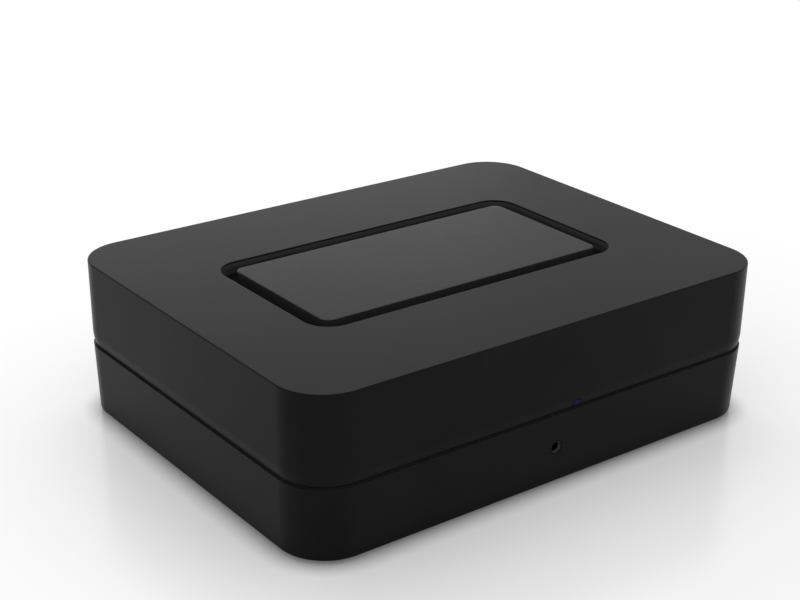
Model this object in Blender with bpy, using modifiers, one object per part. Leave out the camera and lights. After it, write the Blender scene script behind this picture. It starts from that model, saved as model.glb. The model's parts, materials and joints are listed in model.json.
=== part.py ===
"""Bluetooth audio receiver: a low box in two matt black shells with a waist groove between them.

A touch plate stands like an island in a moat in the top. The front has a headphone socket and a
status light, and the back has a recessed panel with the sockets and four speaker posts.

Metres, +Z up, the front faces -Y. The origin is on the table, under the middle of the outline box.
"""

import math

import bmesh
import bpy
from mathutils import Euler

# Driving dimensions of the case
BODY_WIDTH = 0.250
BODY_DEPTH = 0.193
CASE_HEIGHT = 0.0744
FOOT_GAP = 0.0011
CORNER_RADIUS = 0.022
CORNER_STEPS = 9
WALL = 0.0045
TOP_THICKNESS = 0.003
FLOOR_THICKNESS = 0.0025
TOP_EDGE_ROUND = 0.0006
BASE_EDGE_ROUND = 0.0012
BASE_RIM_EDGE = 0.0003
BASE_DRAFT = 0.0010

# Allowances: gap between neighbours, reach of a cutter past a face and of a joined shape into
# its neighbour, broken edge of small pieces, and how near two points count as one
CLEARANCE = 0.0003
OVERCUT = 0.001
OVERLAP = 0.001
EDGE = 0.0004
SAME_PLACE = 0.00001

# Fineness: sides of round shapes, steps of rounded edges, and the least angle of a sharp edge
HEX_SIDES = 6
FEW_SIDES = 12
SOME_SIDES = 16
MANY_SIDES = 24
CHAMFER_STEPS = 1
ROUND_STEPS = 2
SOFT_STEPS = 3
BLOCK_STEPS = 4
SHARP_ANGLE = math.radians(30)

# Waist groove between the shells, and the band inside it
LOWER_RIM_Z = 0.0340
WAIST_GAP = 0.0008
UNDERCUT_DEPTH = 0.0008
UNDERCUT_HEIGHT = 0.0040
BAND_THICKNESS = 0.002
BAND_HEIGHT = 0.014

# Touch plate, its moat and tray
MOAT_SIZE_X = 0.1662
MOAT_SIZE_Y = 0.0870
MOAT_RADIUS = 0.0122
MOAT_GAP = 0.0072
MOAT_DEPTH = 0.0065
MOAT_CORNER_STEPS = 6
PLATE_DROP = 0.00035
PLATE_RADIUS = 0.0045
PLATE_WALL = 0.002
TRAY_SHEET = 0.0015
TRAY_FLANGE = 0.006
TRAY_SIDE_GAP = 0.0005
TOUCH_BOARD_THICKNESS = 0.0012

# Flat cable from the touch board to the main board
RIBBON_X = 0.060
RIBBON_Y = -0.030
RIBBON_WIDTH = 0.020
RIBBON_THICKNESS = 0.0008
RIBBON_BELLY = 0.006
RIBBON_SLIT = (0.024, 0.003, 0.010)
RIBBON_POINTS = 14

# Headphone socket and status light in the front
JACK_X = 0.0008
JACK_BORE_RADIUS = 0.0018
JACK_BORE_DEPTH = 0.010
JACK_SIZE = (0.011, 0.0122, 0.0085)
BUSH_RADIUS = 0.00285
BUSH_RECESS = 0.00025
LIGHT_X = 0.0113
LIGHT_WIDTH = 0.004
LIGHT_HEIGHT = 0.0027
LIGHT_LIFT = 0.0002
LIGHT_STEM = 0.0025
LIGHT_STEM_INSET = 0.003
LED_SIZE = (0.003, 0.0016, 0.001)

# Feet, case screws and the posts and bosses that they draw together
FOOT_RADIUS = 0.008
FOOT_SINK = 0.0004
FOOT_ROUND = 0.0008
FOOT_X = 0.092
FOOT_Y = 0.066
BOSS_RADIUS = 0.0045
BOSS_X = 0.105
BOSS_Y = 0.0765
BOSS_FOOT_Z = 0.008
PILOT_TOP_Z = 0.030
SCREW_RADIUS = 0.0015
SCREW_LENGTH = 0.020
SCREW_HEAD_RADIUS = 0.0028
SCREW_HEAD_HEIGHT = 0.002
SCREW_SINK = 0.0005
SCREW_SOCKET = (0.0014, 0.0012)

# Slots in the floor
VENT_COUNT = 9
VENT_SIZE = (0.003, 0.028, 0.010)
VENT_PITCH = 0.009
VENT_ROWS_Y = (-0.040, 0.015)

# Circuit boards on pegs
BOARD_THICKNESS = 0.0016
BOARD_Z = 0.012
BOARD_RADIUS = 0.002
STANDOFF_RADIUS = 0.003
STANDOFF_SIDES = 10
PEG_RADIUS = 0.0014
PEG_SIDES = 8
BOARDS = {
    "main_board": ((-0.022, 0.094), (-0.090, 0.0783)),
    "power_board": ((-0.096, -0.028), (-0.066, 0.0783)),
}
PEG_PLACES = (
    (-0.016, -0.076), (0.088, -0.084), (-0.016, 0.040), (0.088, 0.050),
    (-0.090, -0.060), (-0.034, -0.060), (-0.090, 0.050), (-0.034, 0.050),
)

# What stands on the boards: size and the middle of the seat
SINK_SIZE = (0.056, 0.044, 0.005)
SINK_PLACE = (0.040, 0.010)
FIN_COUNT = 9
FIN_THICKNESS = 0.002
FIN_HEIGHT = 0.023
MODULE_SIZE = (0.030, 0.024, 0.0036)
MODULE_PLACE = (0.068, -0.062)
PROCESSOR_SIZE = (0.017, 0.017, 0.003)
PROCESSOR_PLACE = (0.020, -0.045)
CHIP_RADIUS = 0.001
TRANSFORMER_SIZE = (0.030, 0.034, 0.027)
TRANSFORMER_PLACE = (-0.058, 0.012)
TRANSFORMER_ROUND = 0.003
CAPACITOR_RADIUS = 0.011
CAPACITOR_HEIGHT = 0.034
CAPACITOR_PLACE = (-0.075, -0.036)
POWER_CABLE_RADIUS = 0.0022
POWER_CABLE_X = (-0.040, -0.010)
POWER_CABLE_Y = -0.020
POWER_CABLE_TOP_Z = 0.027
SPEAKER_CABLE_RADIUS = 0.002
SPEAKER_CABLE_RUN = 0.014
CABLE_END = (0.002, 0.005)
CABLE_POINTS = 19
CABLE_ROUNDNESS = 2

# Rear bay: the frame that lines it, and the panel in the frame
FRAME_WIDTH = 0.200
FRAME_Z = (0.006, 0.066)
FRAME_WALL = 0.003
FRAME_RADIUS = 0.005
FRAME_RECESS = 0.0003
LIP_SIDE = 0.010
LIP_EDGE = 0.0055
LIP_DEPTH = 0.0017
PANEL_RECESS = 0.0104
PANEL_THICKNESS = 0.002
PANEL_SCREW_X = 0.0935
PANEL_SCREW_RADIUS = 0.00125
PANEL_SCREW_LENGTH = 0.008
PANEL_SCREW_HEAD_RADIUS = 0.0026
PANEL_SCREW_HEAD_HEIGHT = 0.0015
PANEL_SCREW_SOCKET = (0.0013, 0.001)

# Mains inlet
MAINS_X = -0.070
MAINS_BODY = (0.023, 0.022, 0.0144)
MAINS_BODY_RADIUS = 0.0067
MAINS_CORNER_STEPS = 5
MAINS_FLANGE = (0.029, 0.0016, 0.020)
MAINS_FLANGE_RADIUS = 0.004
MAINS_MOUTH = (0.0174, 0.0125, 0.0094)
MAINS_MOUTH_RADIUS = 0.0045
MAINS_PIN_PITCH = 0.0086
MAINS_PIN_RADIUS = 0.0012
MAINS_PIN_TAIL = 0.001
MAINS_PIN_SINK = 0.0025

# Sockets that stand on the main board, each with the size of its housing and of its mouth
SOCKET_PROUD = 0.0004
ETHERNET_X = 0.0
ETHERNET_SIZE = (0.016, 0.018, 0.0134)
ETHERNET_MOUTH = (0.0119, 0.012, 0.0078)
ETHERNET_MOUTH_LIFT = 0.0007
ETHERNET_LATCH = (0.0062, 0.011, 0.0024)
USB_X = 0.024
USB_SIZE = (0.0145, 0.016, 0.007)
USB_MOUTH = (0.0126, 0.010, 0.0052)
USB_TONGUE = (0.0110, 0.009, 0.0019)
USB_TONGUE_LIFT = 0.0008
OPTICAL_X = 0.044
OPTICAL_SIZE = (0.0134, 0.016, 0.010)
OPTICAL_MOUTH = (0.0084, 0.012, 0.0084)

# Shutter of the optical socket, which hangs on two pins near its upper edge
SHUTTER_SIZE = (0.0078, 0.0008, 0.0074)
SHUTTER_ROUND = 0.00035
SHUTTER_ABOVE_AXIS = 0.0004
SHUTTER_PIN_RADIUS = 0.0003
SHUTTER_PIN_HOLE_RADIUS = 0.0008
SHUTTER_PIN_REACH = 0.0009
SHUTTER_SINK = 0.0014
SHUTTER_DROP = 0.0008

# Phono sockets with coloured collars
RCA_PLACES = {"left": 0.080, "right": 0.064}
RCA_BLOCK = (0.012, 0.014, 0.014)
RCA_BARREL_RADIUS = 0.00415
RCA_BARREL_REACH = 0.0092
RCA_HOLE_RADIUS = 0.00165
RCA_HOLE_FLOOR = 0.0014
RCA_COLLAR_RADIUS = 0.006
RCA_COLLAR_HEIGHT = 0.0025

# Reset button and the switch behind it
RESET_X = -0.0165
RESET_RADIUS = 0.00275
RESET_PROUD = 0.0013
RESET_DEPTH = 0.0046
RESET_FLANGE_RADIUS = 0.0036
RESET_FLANGE_HEIGHT = 0.0011
RESET_STEM_RADIUS = 0.0017
SWITCH_SIZE = (0.006, 0.0055, 0.007)
SWITCH_SPACE = 0.0015
PLUNGER_RADIUS = 0.0015
PLUNGER_REACH = 0.0005

# Speaker posts, in two pairs
POST_REACH = 0.007
POST_Z = 0.046
POST_PITCH = 0.019
POST_PAIRS = {"left": 0.0665, "right": 0.0185}
POLES = {"plus": 1, "minus": -1}
POST_BLOCK_HALF_HEIGHT = 0.008
POST_BLOCK_THICKNESS = 0.0036
POST_BLOCK_RADIUS = 0.003
SPIGOT_RADIUS = 0.0039
SPIGOT_REACH = 0.0013
STUD_RADIUS = 0.003
STUD_TAIL = 0.0156
STUD_BORE_RADIUS = 0.00205
STUD_BORE_DEPTH = 0.008
STUD_SINK = 0.0065
NUT_RADIUS = 0.0052
NUT_HEIGHT = 0.0024
INSERT_RADIUS = 0.0043
INSERT_SINK = 0.0004
GRIP_RADIUS = 0.006
GRIP_HOLE_RADIUS = 0.0022
GRIP_SHOULDER = 0.0007
GRIP_FLUTES = 12
FLUTE_DEPTH = 0.0004
TERMINAL_BOARD_GAP = 0.0116
TERMINAL_BOARD_MARGIN = 0.008

# Places that follow from the driving dimensions
FRONT_Y = -(BODY_DEPTH + POST_REACH) / 2
BACK_Y = FRONT_Y + BODY_DEPTH
MID_Y = (FRONT_Y + BACK_Y) / 2
FLOOR_Z = FOOT_GAP + FLOOR_THICKNESS
UPPER_RIM_Z = LOWER_RIM_Z + WAIST_GAP
CEILING_Z = CASE_HEIGHT - TOP_THICKNESS
BOARD_TOP_Z = BOARD_Z + BOARD_THICKNESS
SEAT_Z = BOARD_TOP_Z + CLEARANCE
MOAT_FLOOR_Z = CASE_HEIGHT - MOAT_DEPTH
PLATE_TOP_Z = CASE_HEIGHT - PLATE_DROP
PLATE_CEILING_Z = PLATE_TOP_Z - PLATE_WALL
WALL_INSIDE_Y = FRONT_Y + WALL
JACK_Z = SEAT_Z + JACK_SIZE[2] / 2
BUSH_FACE_Y = FRONT_Y + BUSH_RECESS + BASE_DRAFT * (LOWER_RIM_Z - JACK_Z) / (LOWER_RIM_Z - FOOT_GAP)
LIGHT_Z = (UPPER_RIM_Z + LIGHT_LIFT, UPPER_RIM_Z + LIGHT_LIFT + LIGHT_HEIGHT)
FRAME_MIDDLE_Z = sum(FRAME_Z) / 2
PANEL_FACE_Y = BACK_Y - PANEL_RECESS
PANEL_BACK_Y = PANEL_FACE_Y - PANEL_THICKNESS
FACE_GAP_Y = PANEL_FACE_Y + CLEARANCE
SOCKET_FACE_Y = PANEL_FACE_Y + SOCKET_PROUD
SHUTTER_AXIS_Y = SOCKET_FACE_Y - SHUTTER_SINK
SHUTTER_AXIS_Z = SEAT_Z + (OPTICAL_SIZE[2] + OPTICAL_MOUTH[2]) / 2 - SHUTTER_DROP
RCA_Z = SEAT_Z + RCA_BLOCK[2] / 2
RESET_Z = SEAT_Z + SWITCH_SIZE[2] / 2
MAINS_Z = SEAT_Z + MAINS_BODY[2] / 2
GRIP_END_Y = BACK_Y + POST_REACH
STUD_END_Y = GRIP_END_Y - STUD_SINK
BLOCK_FACE_Y = FACE_GAP_Y + POST_BLOCK_THICKNESS
GRIP_START_Y = BLOCK_FACE_Y + CLEARANCE
TERMINAL_BOARD_Y = PANEL_BACK_Y - TERMINAL_BOARD_GAP

# How a shape that stands along Z is turned to lie along another axis
TURNS = {
    "X": (0.0, math.pi / 2, 0.0),
    "Y": (-math.pi / 2, 0.0, 0.0),
    "Z": (0.0, 0.0, 0.0),
}


def clear_scene():
    """Remove everything that the startup file holds."""
    for obj in list(bpy.data.objects):
        bpy.data.objects.remove(obj)


def new_collection(name):
    """A collection linked to the scene."""
    collection = bpy.data.collections.new(name)
    bpy.context.scene.collection.children.link(collection)
    return collection


def new_material(name, colour, roughness, metallic=0.0):
    """A Principled BSDF material."""
    material = bpy.data.materials.new(name)
    material.use_nodes = True
    shader = material.node_tree.nodes["Principled BSDF"]
    shader.inputs["Base Color"].default_value = (*colour, 1.0)
    shader.inputs["Roughness"].default_value = roughness
    shader.inputs["Metallic"].default_value = metallic
    return material


clear_scene()
PARTS = new_collection("bluetooth_audio_receiver")
CUTTERS = new_collection("cutters")
MATERIALS = {
    "case": new_material("matt_black_case", (0.012, 0.012, 0.013), 0.55),
    "plate": new_material("satin_black_plate", (0.016, 0.016, 0.017), 0.32),
    "trim": new_material("black_trim", (0.008, 0.008, 0.009), 0.45),
    "rubber": new_material("black_rubber", (0.02, 0.02, 0.02), 0.85),
    "light": new_material("blue_light_pipe", (0.05, 0.08, 0.75), 0.25),
    "nickel": new_material("nickel_plate", (0.62, 0.61, 0.58), 0.28, 1.0),
    "gold": new_material("gold_plate", (0.83, 0.62, 0.26), 0.22, 1.0),
    "steel": new_material("black_steel", (0.05, 0.05, 0.055), 0.4, 1.0),
    "red": new_material("red_plastic", (0.45, 0.02, 0.02), 0.35),
    "white": new_material("white_plastic", (0.75, 0.75, 0.73), 0.4),
    "board": new_material("green_board", (0.015, 0.09, 0.045), 0.45),
    "aluminium": new_material("bare_aluminium", (0.7, 0.7, 0.72), 0.35, 1.0),
    "tape": new_material("yellow_tape", (0.6, 0.45, 0.08), 0.5),
    "ribbon": new_material("grey_ribbon", (0.45, 0.45, 0.47), 0.5),
}


def finish(name, mesh, location, material):
    """Put a mesh into the scene as a part, or as a hidden cutter when it has no material."""
    mesh.shade_smooth()
    mesh.set_sharp_from_angle(angle=SHARP_ANGLE)
    obj = bpy.data.objects.new(name, mesh)
    obj.location = location
    if material is None:
        CUTTERS.objects.link(obj)
        obj.hide_render = True
        obj.display_type = "WIRE"
    else:
        PARTS.objects.link(obj)
        mesh.materials.append(MATERIALS[material])
    return obj


def mesh_from(name, bm):
    """Turn a bmesh into mesh data with its faces pointing out, and free it."""
    bmesh.ops.recalc_face_normals(bm, faces=bm.faces)
    mesh = bpy.data.meshes.new(name)
    bm.to_mesh(mesh)
    bm.free()
    return mesh


def rounded_box(size, radius, along, steps):
    """A cube scaled to size, with the four edges that run along one axis rounded."""
    bm = bmesh.new()
    bmesh.ops.create_cube(bm, size=1.0)
    bmesh.ops.scale(bm, vec=size, verts=bm.verts)
    if radius:
        axis = "XYZ".index(along)
        edges = [e for e in bm.edges if abs((e.verts[0].co - e.verts[1].co)[axis]) > size[axis] / 2]
        bmesh.ops.bevel(bm, geom=edges, offset=radius, segments=steps, profile=0.5, affect="EDGES")
    return bm


def bevel_rim(bm, axis, side, width, steps):
    """Round the outline at one end of a shape: side is 1 for its high end and -1 for its low end."""
    end = max(side * v.co[axis] for v in bm.verts)
    rim = [e for e in bm.edges if all(side * v.co[axis] > end - SAME_PLACE for v in e.verts)]
    bmesh.ops.bevel(bm, geom=rim, offset=width, segments=steps, profile=0.5, affect="EDGES")


def block(name, size, location, material=None, radius=0.0, along="Z", steps=BLOCK_STEPS, rims=()):
    """A box on its middle, with edges along one axis rounded. Each rim is (side, width, steps)."""
    bm = rounded_box(size, radius, along, steps)
    for side, width, rim_steps in rims:
        bevel_rim(bm, "XYZ".index(along), side, width, rim_steps)
    return finish(name, mesh_from(name, bm), location, material)


def span_block(name, spans, material=None, **form):
    """A block given by its (low, high) pairs along X, Y and Z."""
    size = [high - low for low, high in spans]
    middle = [(high + low) / 2 for low, high in spans]
    return block(name, size, middle, material, **form)


def about(middle, size):
    """The (low, high) pair of this size about a middle."""
    return (middle - size / 2, middle + size / 2)


def seated(name, size, place, material, **form):
    """A block that stands on a board at a place in X and Y."""
    return block(name, size, (*place, SEAT_Z + size[2] / 2), material, **form)


def rods(name, radius, span, places, along="Z", sides=SOME_SIDES):
    """Equal round rods as one cutter: span is (low, high) along the axis, places are across it."""
    bm = bmesh.new()
    turn = Euler(TURNS[along]).to_matrix()
    for place in places:
        rod = bmesh.ops.create_cone(
            bm, cap_ends=True, segments=sides, radius1=radius, radius2=radius, depth=span[1] - span[0]
        )["verts"]
        middle = list(place)
        middle.insert("XYZ".index(along), sum(span) / 2)
        bmesh.ops.rotate(bm, matrix=turn, verts=rod)
        bmesh.ops.translate(bm, vec=middle, verts=rod)
    return finish(name, mesh_from(name, bm), (0, 0, 0), None)


def slats(name, size, count, pitch, location):
    """Equal boxes in a row along X, as one cutter."""
    bm = bmesh.new()
    for index in range(count):
        slat = bmesh.ops.create_cube(bm, size=1.0)["verts"]
        bmesh.ops.scale(bm, vec=size, verts=slat)
        bmesh.ops.translate(bm, vec=((index - (count - 1) / 2) * pitch, 0, 0), verts=slat)
    return finish(name, mesh_from(name, bm), location, None)


def turned(name, profile, location, material=None, along="Z", ring=False, steps=MANY_SIDES):
    """A turned piece: profile is (radius, height) pairs running down the outer side."""
    count = len(profile)
    edges = [(index, index + 1) for index in range(count - 1)]
    if ring:
        edges.append((count - 1, 0))
    mesh = bpy.data.meshes.new(name)
    mesh.from_pydata([(radius, 0.0, height) for radius, height in profile], edges, [])
    obj = finish(name, mesh, location, material)
    obj.rotation_euler = TURNS[along]
    screw = obj.modifiers.new("turn", "SCREW")
    screw.steps = steps
    screw.render_steps = steps
    screw.use_merge_vertices = True
    screw.merge_threshold = SAME_PLACE
    screw.use_smooth_shade = True
    return obj


def tube(name, points, radius, material):
    """A wire through the points."""
    curve = bpy.data.curves.new(name, "CURVE")
    curve.dimensions = "3D"
    curve.bevel_depth = radius
    curve.bevel_resolution = CABLE_ROUNDNESS
    curve.use_fill_caps = True
    spline = curve.splines.new("POLY")
    spline.points.add(len(points) - 1)
    for slot, point in zip(spline.points, points):
        slot.co = (*point, 1.0)
    curve.materials.append(MATERIALS[material])
    PARTS.objects.link(bpy.data.objects.new(name, curve))


def smooth_route(points, count):
    """Points at even steps along a Catmull-Rom curve through the route's own points."""
    ends = [points[0], *points, points[-1]]
    route = []
    for index in range(count):
        place = index / (count - 1) * (len(points) - 1)
        leg = min(int(place), len(points) - 2)
        t = place - leg
        route.append(tuple(
            q + t * ((r - p) + t * ((2 * p - 5 * q + 4 * r - s) + t * (3 * (q - r) + s - p))) / 2
            for p, q, r, s in zip(*ends[leg:leg + 4])
        ))
    return route


def combine(obj, other, operation):
    """Cut a piece with another, or join the other to it."""
    boolean = obj.modifiers.new(other.name, "BOOLEAN")
    boolean.operation = operation
    boolean.object = other


def cut(obj, *others):
    """Cut each of the others out of a piece."""
    for other in others:
        combine(obj, other, "DIFFERENCE")


def join(obj, *others):
    """Join each of the others to a piece."""
    for other in others:
        combine(obj, other, "UNION")


def corner_places(x, y):
    """The four places at +-x and +-y about the case's middle."""
    return [(side * x, MID_Y + end * y) for end in (-1, 1) for side in (-1, 1)]


def corner_name(place):
    """Name of the corner that a place is in."""
    x, y = place
    return ("front" if y < MID_Y else "rear") + ("_left" if x < 0 else "_right")


def case_block(name, inset, z_span, material=None, rims=()):
    """A block with the case's rounded outline, drawn in by inset, between two heights."""
    spans = (
        about(0.0, BODY_WIDTH - 2 * inset),
        about(MID_Y, BODY_DEPTH - 2 * inset),
        z_span,
    )
    return span_block(name, spans, material, radius=CORNER_RADIUS - inset, steps=CORNER_STEPS, rims=rims)


def moat_block(name, inset, z_span, radius, material=None, rims=()):
    """A block with the outline of the moat's outer edge, drawn in by inset, between two heights."""
    spans = (
        about(0.0, MOAT_SIZE_X - 2 * inset),
        about(MID_Y, MOAT_SIZE_Y - 2 * inset),
        z_span,
    )
    return span_block(name, spans, material, radius=radius, steps=MOAT_CORNER_STEPS, rims=rims)


def frame_block(name, inset, y_span, material=None, rims=()):
    """A block with the rear frame's outline, drawn in by inset, between two depths."""
    spans = (
        about(0.0, FRAME_WIDTH - 2 * inset),
        y_span,
        about(FRAME_MIDDLE_Z, FRAME_Z[1] - FRAME_Z[0] - 2 * inset),
    )
    return span_block(name, spans, material, radius=FRAME_RADIUS - inset, along="Y", rims=rims)


def make_bay():
    """The hole that the rear frame fills, in both shells and the waist band."""
    return frame_block("rear_bay", -CLEARANCE, (PANEL_BACK_Y - LIP_DEPTH - OVERCUT, BACK_Y + OVERCUT))


def make_light_slot():
    """The notch for the light pipe, in the top shell's rim and the waist band."""
    spans = (
        about(LIGHT_X, LIGHT_WIDTH + 2 * CLEARANCE),
        (FRONT_Y - OVERCUT, WALL_INSIDE_Y + CLEARANCE + BAND_THICKNESS + OVERCUT),
        (LOWER_RIM_Z + CLEARANCE, LIGHT_Z[1] + CLEARANCE),
    )
    return span_block("light_slot", spans)


def draw_up_undercut(shell):
    """Draw the bevel along a shell's lower rim up its wall to the undercut's full height."""
    rim = min(vertex.co.z for vertex in shell.data.vertices)
    for vertex in shell.data.vertices:
        if SAME_PLACE < vertex.co.z - rim < UNDERCUT_DEPTH + SAME_PLACE:
            vertex.co.z = rim + UNDERCUT_HEIGHT


def make_top_shell(bay, light_slot):
    """Upper shell: undercut along its rim, open for the touch plate, with four screw bosses."""
    rims = ((1, TOP_EDGE_ROUND, ROUND_STEPS), (-1, UNDERCUT_DEPTH, CHAMFER_STEPS))
    shell = case_block("top_shell", 0.0, (UPPER_RIM_Z, CASE_HEIGHT), "case", rims)
    draw_up_undercut(shell)
    hollow = case_block("top_hollow", WALL, (UPPER_RIM_Z - OVERCUT, CEILING_Z))
    places = corner_places(BOSS_X, BOSS_Y)
    bosses = rods("top_bosses", BOSS_RADIUS, (BOSS_FOOT_Z + CLEARANCE, CEILING_Z + OVERLAP), places)
    pilot_span = (BOSS_FOOT_Z - OVERCUT, PILOT_TOP_Z)
    pilots = rods("top_pilots", SCREW_RADIUS + CLEARANCE, pilot_span, places, sides=FEW_SIDES)
    opening = moat_block("moat_opening", 0.0, (CEILING_Z - OVERCUT, CASE_HEIGHT + OVERCUT), MOAT_RADIUS)
    cut(shell, hollow)
    join(shell, bosses)
    cut(shell, pilots, opening, bay, light_slot)


def draw_in_base(shell):
    """Draw a shell's sides and front in towards its foot, and leave its back upright."""
    top = max(vertex.co.z for vertex in shell.data.vertices)
    back = max(vertex.co.y for vertex in shell.data.vertices)
    for vertex in shell.data.vertices:
        draft = BASE_DRAFT * (top - vertex.co.z) / (LOWER_RIM_Z - FOOT_GAP)
        vertex.co.x *= 1 - draft / (BODY_WIDTH / 2)
        vertex.co.y += (back - vertex.co.y) * draft / BODY_DEPTH


def make_base_shell(bay):
    """Lower shell: a tray with screw posts, board pegs, vents and the headphone hole."""
    rims = ((-1, BASE_EDGE_ROUND, SOFT_STEPS), (1, BASE_RIM_EDGE, CHAMFER_STEPS))
    shell = case_block("base_shell", 0.0, (FOOT_GAP, LOWER_RIM_Z), "case", rims)
    draw_in_base(shell)
    hollow = case_block("base_hollow", WALL, (FLOOR_Z, LOWER_RIM_Z + OVERCUT))
    screws = corner_places(BOSS_X, BOSS_Y)
    below = FOOT_GAP - OVERCUT
    inside = FLOOR_Z - OVERLAP
    posts = rods("base_posts", BOSS_RADIUS, (inside, BOSS_FOOT_Z), screws)
    standoffs = rods(
        "base_standoffs", STANDOFF_RADIUS, (inside, BOARD_Z - CLEARANCE), PEG_PLACES, sides=STANDOFF_SIDES
    )
    pegs = rods(
        "base_pegs", PEG_RADIUS, (BOARD_Z - OVERLAP, BOARD_TOP_Z + OVERLAP), PEG_PLACES, sides=PEG_SIDES
    )
    shank_span = (below, BOSS_FOOT_Z + OVERCUT)
    shanks = rods("base_shank_holes", SCREW_RADIUS + CLEARANCE, shank_span, screws, sides=FEW_SIDES)
    head_span = (below, FOOT_GAP + SCREW_SINK + SCREW_HEAD_HEIGHT + CLEARANCE)
    heads = rods("base_head_holes", SCREW_HEAD_RADIUS + 2 * CLEARANCE, head_span, screws)
    seat_span = (below, FOOT_GAP + FOOT_SINK + CLEARANCE)
    feet = corner_places(FOOT_X, FOOT_Y)
    seats = rods("base_foot_seats", FOOT_RADIUS + CLEARANCE, seat_span, feet, sides=MANY_SIDES)
    jack_span = (FRONT_Y - OVERCUT, WALL_INSIDE_Y + OVERCUT)
    jack_hole = rods(
        "base_jack_hole", BUSH_RADIUS + CLEARANCE, jack_span, [(JACK_X, JACK_Z)], "Y", MANY_SIDES
    )
    cut(shell, hollow)
    join(shell, posts, standoffs, pegs)
    cut(shell, shanks, heads, seats, jack_hole, bay)
    for row, y in enumerate(VENT_ROWS_Y):
        cut(shell, slats(f"vent_row_{row}", VENT_SIZE, VENT_COUNT, VENT_PITCH, (0, y, FLOOR_Z)))


def make_waist_band(bay, light_slot):
    """Ring inside both rims that lines the shells up and closes the groove."""
    outside = WALL + CLEARANCE
    z = (LOWER_RIM_Z + UPPER_RIM_Z) / 2
    band = case_block("waist_band", outside, about(z, BAND_HEIGHT), "trim")
    inside = case_block("band_hollow", outside + BAND_THICKNESS, about(z, BAND_HEIGHT + 2 * OVERCUT))
    cut(band, inside, bay, light_slot)


def make_touch_tray():
    """Dish bonded under the top that makes the moat's floor."""
    top = CEILING_Z - CLEARANCE
    floor = MOAT_FLOOR_Z - TRAY_SHEET

    def dish(name, grow, z_span, material=None):
        return moat_block(name, -TRAY_SIDE_GAP - grow, z_span, MOAT_RADIUS + grow, material)

    tray = dish("touch_tray", TRAY_FLANGE, (top - TRAY_SHEET, top), "trim")
    tub = dish("tray_tub", TRAY_SHEET, (floor, top - TRAY_SHEET / 2))
    well = dish("tray_well", 0.0, (MOAT_FLOOR_Z, CASE_HEIGHT))
    slit = block("tray_slit", RIBBON_SLIT, (RIBBON_X, RIBBON_Y, floor))
    join(tray, tub)
    cut(tray, well, slit)


def make_touch_plate():
    """Cap of the island in the moat, with the touch board under it."""
    foot = MOAT_FLOOR_Z + CLEARANCE
    rims = ((1, EDGE, ROUND_STEPS),)
    plate = moat_block("touch_plate", MOAT_GAP, (foot, PLATE_TOP_Z), PLATE_RADIUS, "plate", rims)
    inset = MOAT_GAP + PLATE_WALL
    inner_radius = PLATE_RADIUS - PLATE_WALL
    cut(plate, moat_block("plate_hollow", inset, (foot - OVERCUT, PLATE_CEILING_Z), inner_radius))
    top = PLATE_CEILING_Z - CLEARANCE
    board_span = (top - TOUCH_BOARD_THICKNESS, top)
    moat_block("touch_board", inset + 2 * CLEARANCE, board_span, inner_radius, "board")


def make_ribbon_cable():
    """Flat cable from the touch board down to the main board."""
    top = PLATE_CEILING_Z - TOUCH_BOARD_THICKNESS - 2 * CLEARANCE
    knee = (top + SEAT_Z) / 2
    bend = (knee + SEAT_Z) / 2
    bends = ((RIBBON_Y, top), (RIBBON_Y, knee), (RIBBON_Y - RIBBON_BELLY, bend), (RIBBON_Y, SEAT_Z))
    route = smooth_route(bends, RIBBON_POINTS)
    bm = bmesh.new()
    line = [bm.verts.new((-RIBBON_WIDTH / 2, y, z)) for y, z in route]
    edges = [bm.edges.new(pair) for pair in zip(line, line[1:])]
    made = bmesh.ops.extrude_edge_only(bm, edges=edges)["geom"]
    far_side = [v for v in made if isinstance(v, bmesh.types.BMVert)]
    bmesh.ops.translate(bm, vec=(RIBBON_WIDTH, 0, 0), verts=far_side)
    cable = finish("ribbon_cable", mesh_from("ribbon_cable", bm), (RIBBON_X, 0, 0), "ribbon")
    solid = cable.modifiers.new("thickness", "SOLIDIFY")
    solid.thickness = RIBBON_THICKNESS
    solid.offset = 0.0


def make_status_light():
    """Light pipe: a stem over the diode on the main board, and an arm out to the undercut."""
    stem_back_y = BOARDS["main_board"][1][0] + LIGHT_STEM_INSET
    x_span = about(LIGHT_X, LIGHT_WIDTH)
    arm_y = (FRONT_Y, stem_back_y - EDGE)
    pipe = span_block("status_light", (x_span, arm_y, LIGHT_Z), "light")
    for vertex in pipe.data.vertices:
        if vertex.co.y < 0:
            above_rim = vertex.co.z + pipe.location.z - UPPER_RIM_Z
            sunk = UNDERCUT_DEPTH * (1 - above_rim / UNDERCUT_HEIGHT)
            vertex.co.y = FRONT_Y + sunk - pipe.location.y
    led_top = SEAT_Z + LED_SIZE[2]
    stem_y = (stem_back_y - LIGHT_STEM, stem_back_y)
    join(pipe, span_block("light_stem", (x_span, stem_y, (led_top + CLEARANCE, LIGHT_Z[1] - EDGE))))
    seated("status_led", LED_SIZE, (LIGHT_X, sum(stem_y) / 2), "white")


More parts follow.
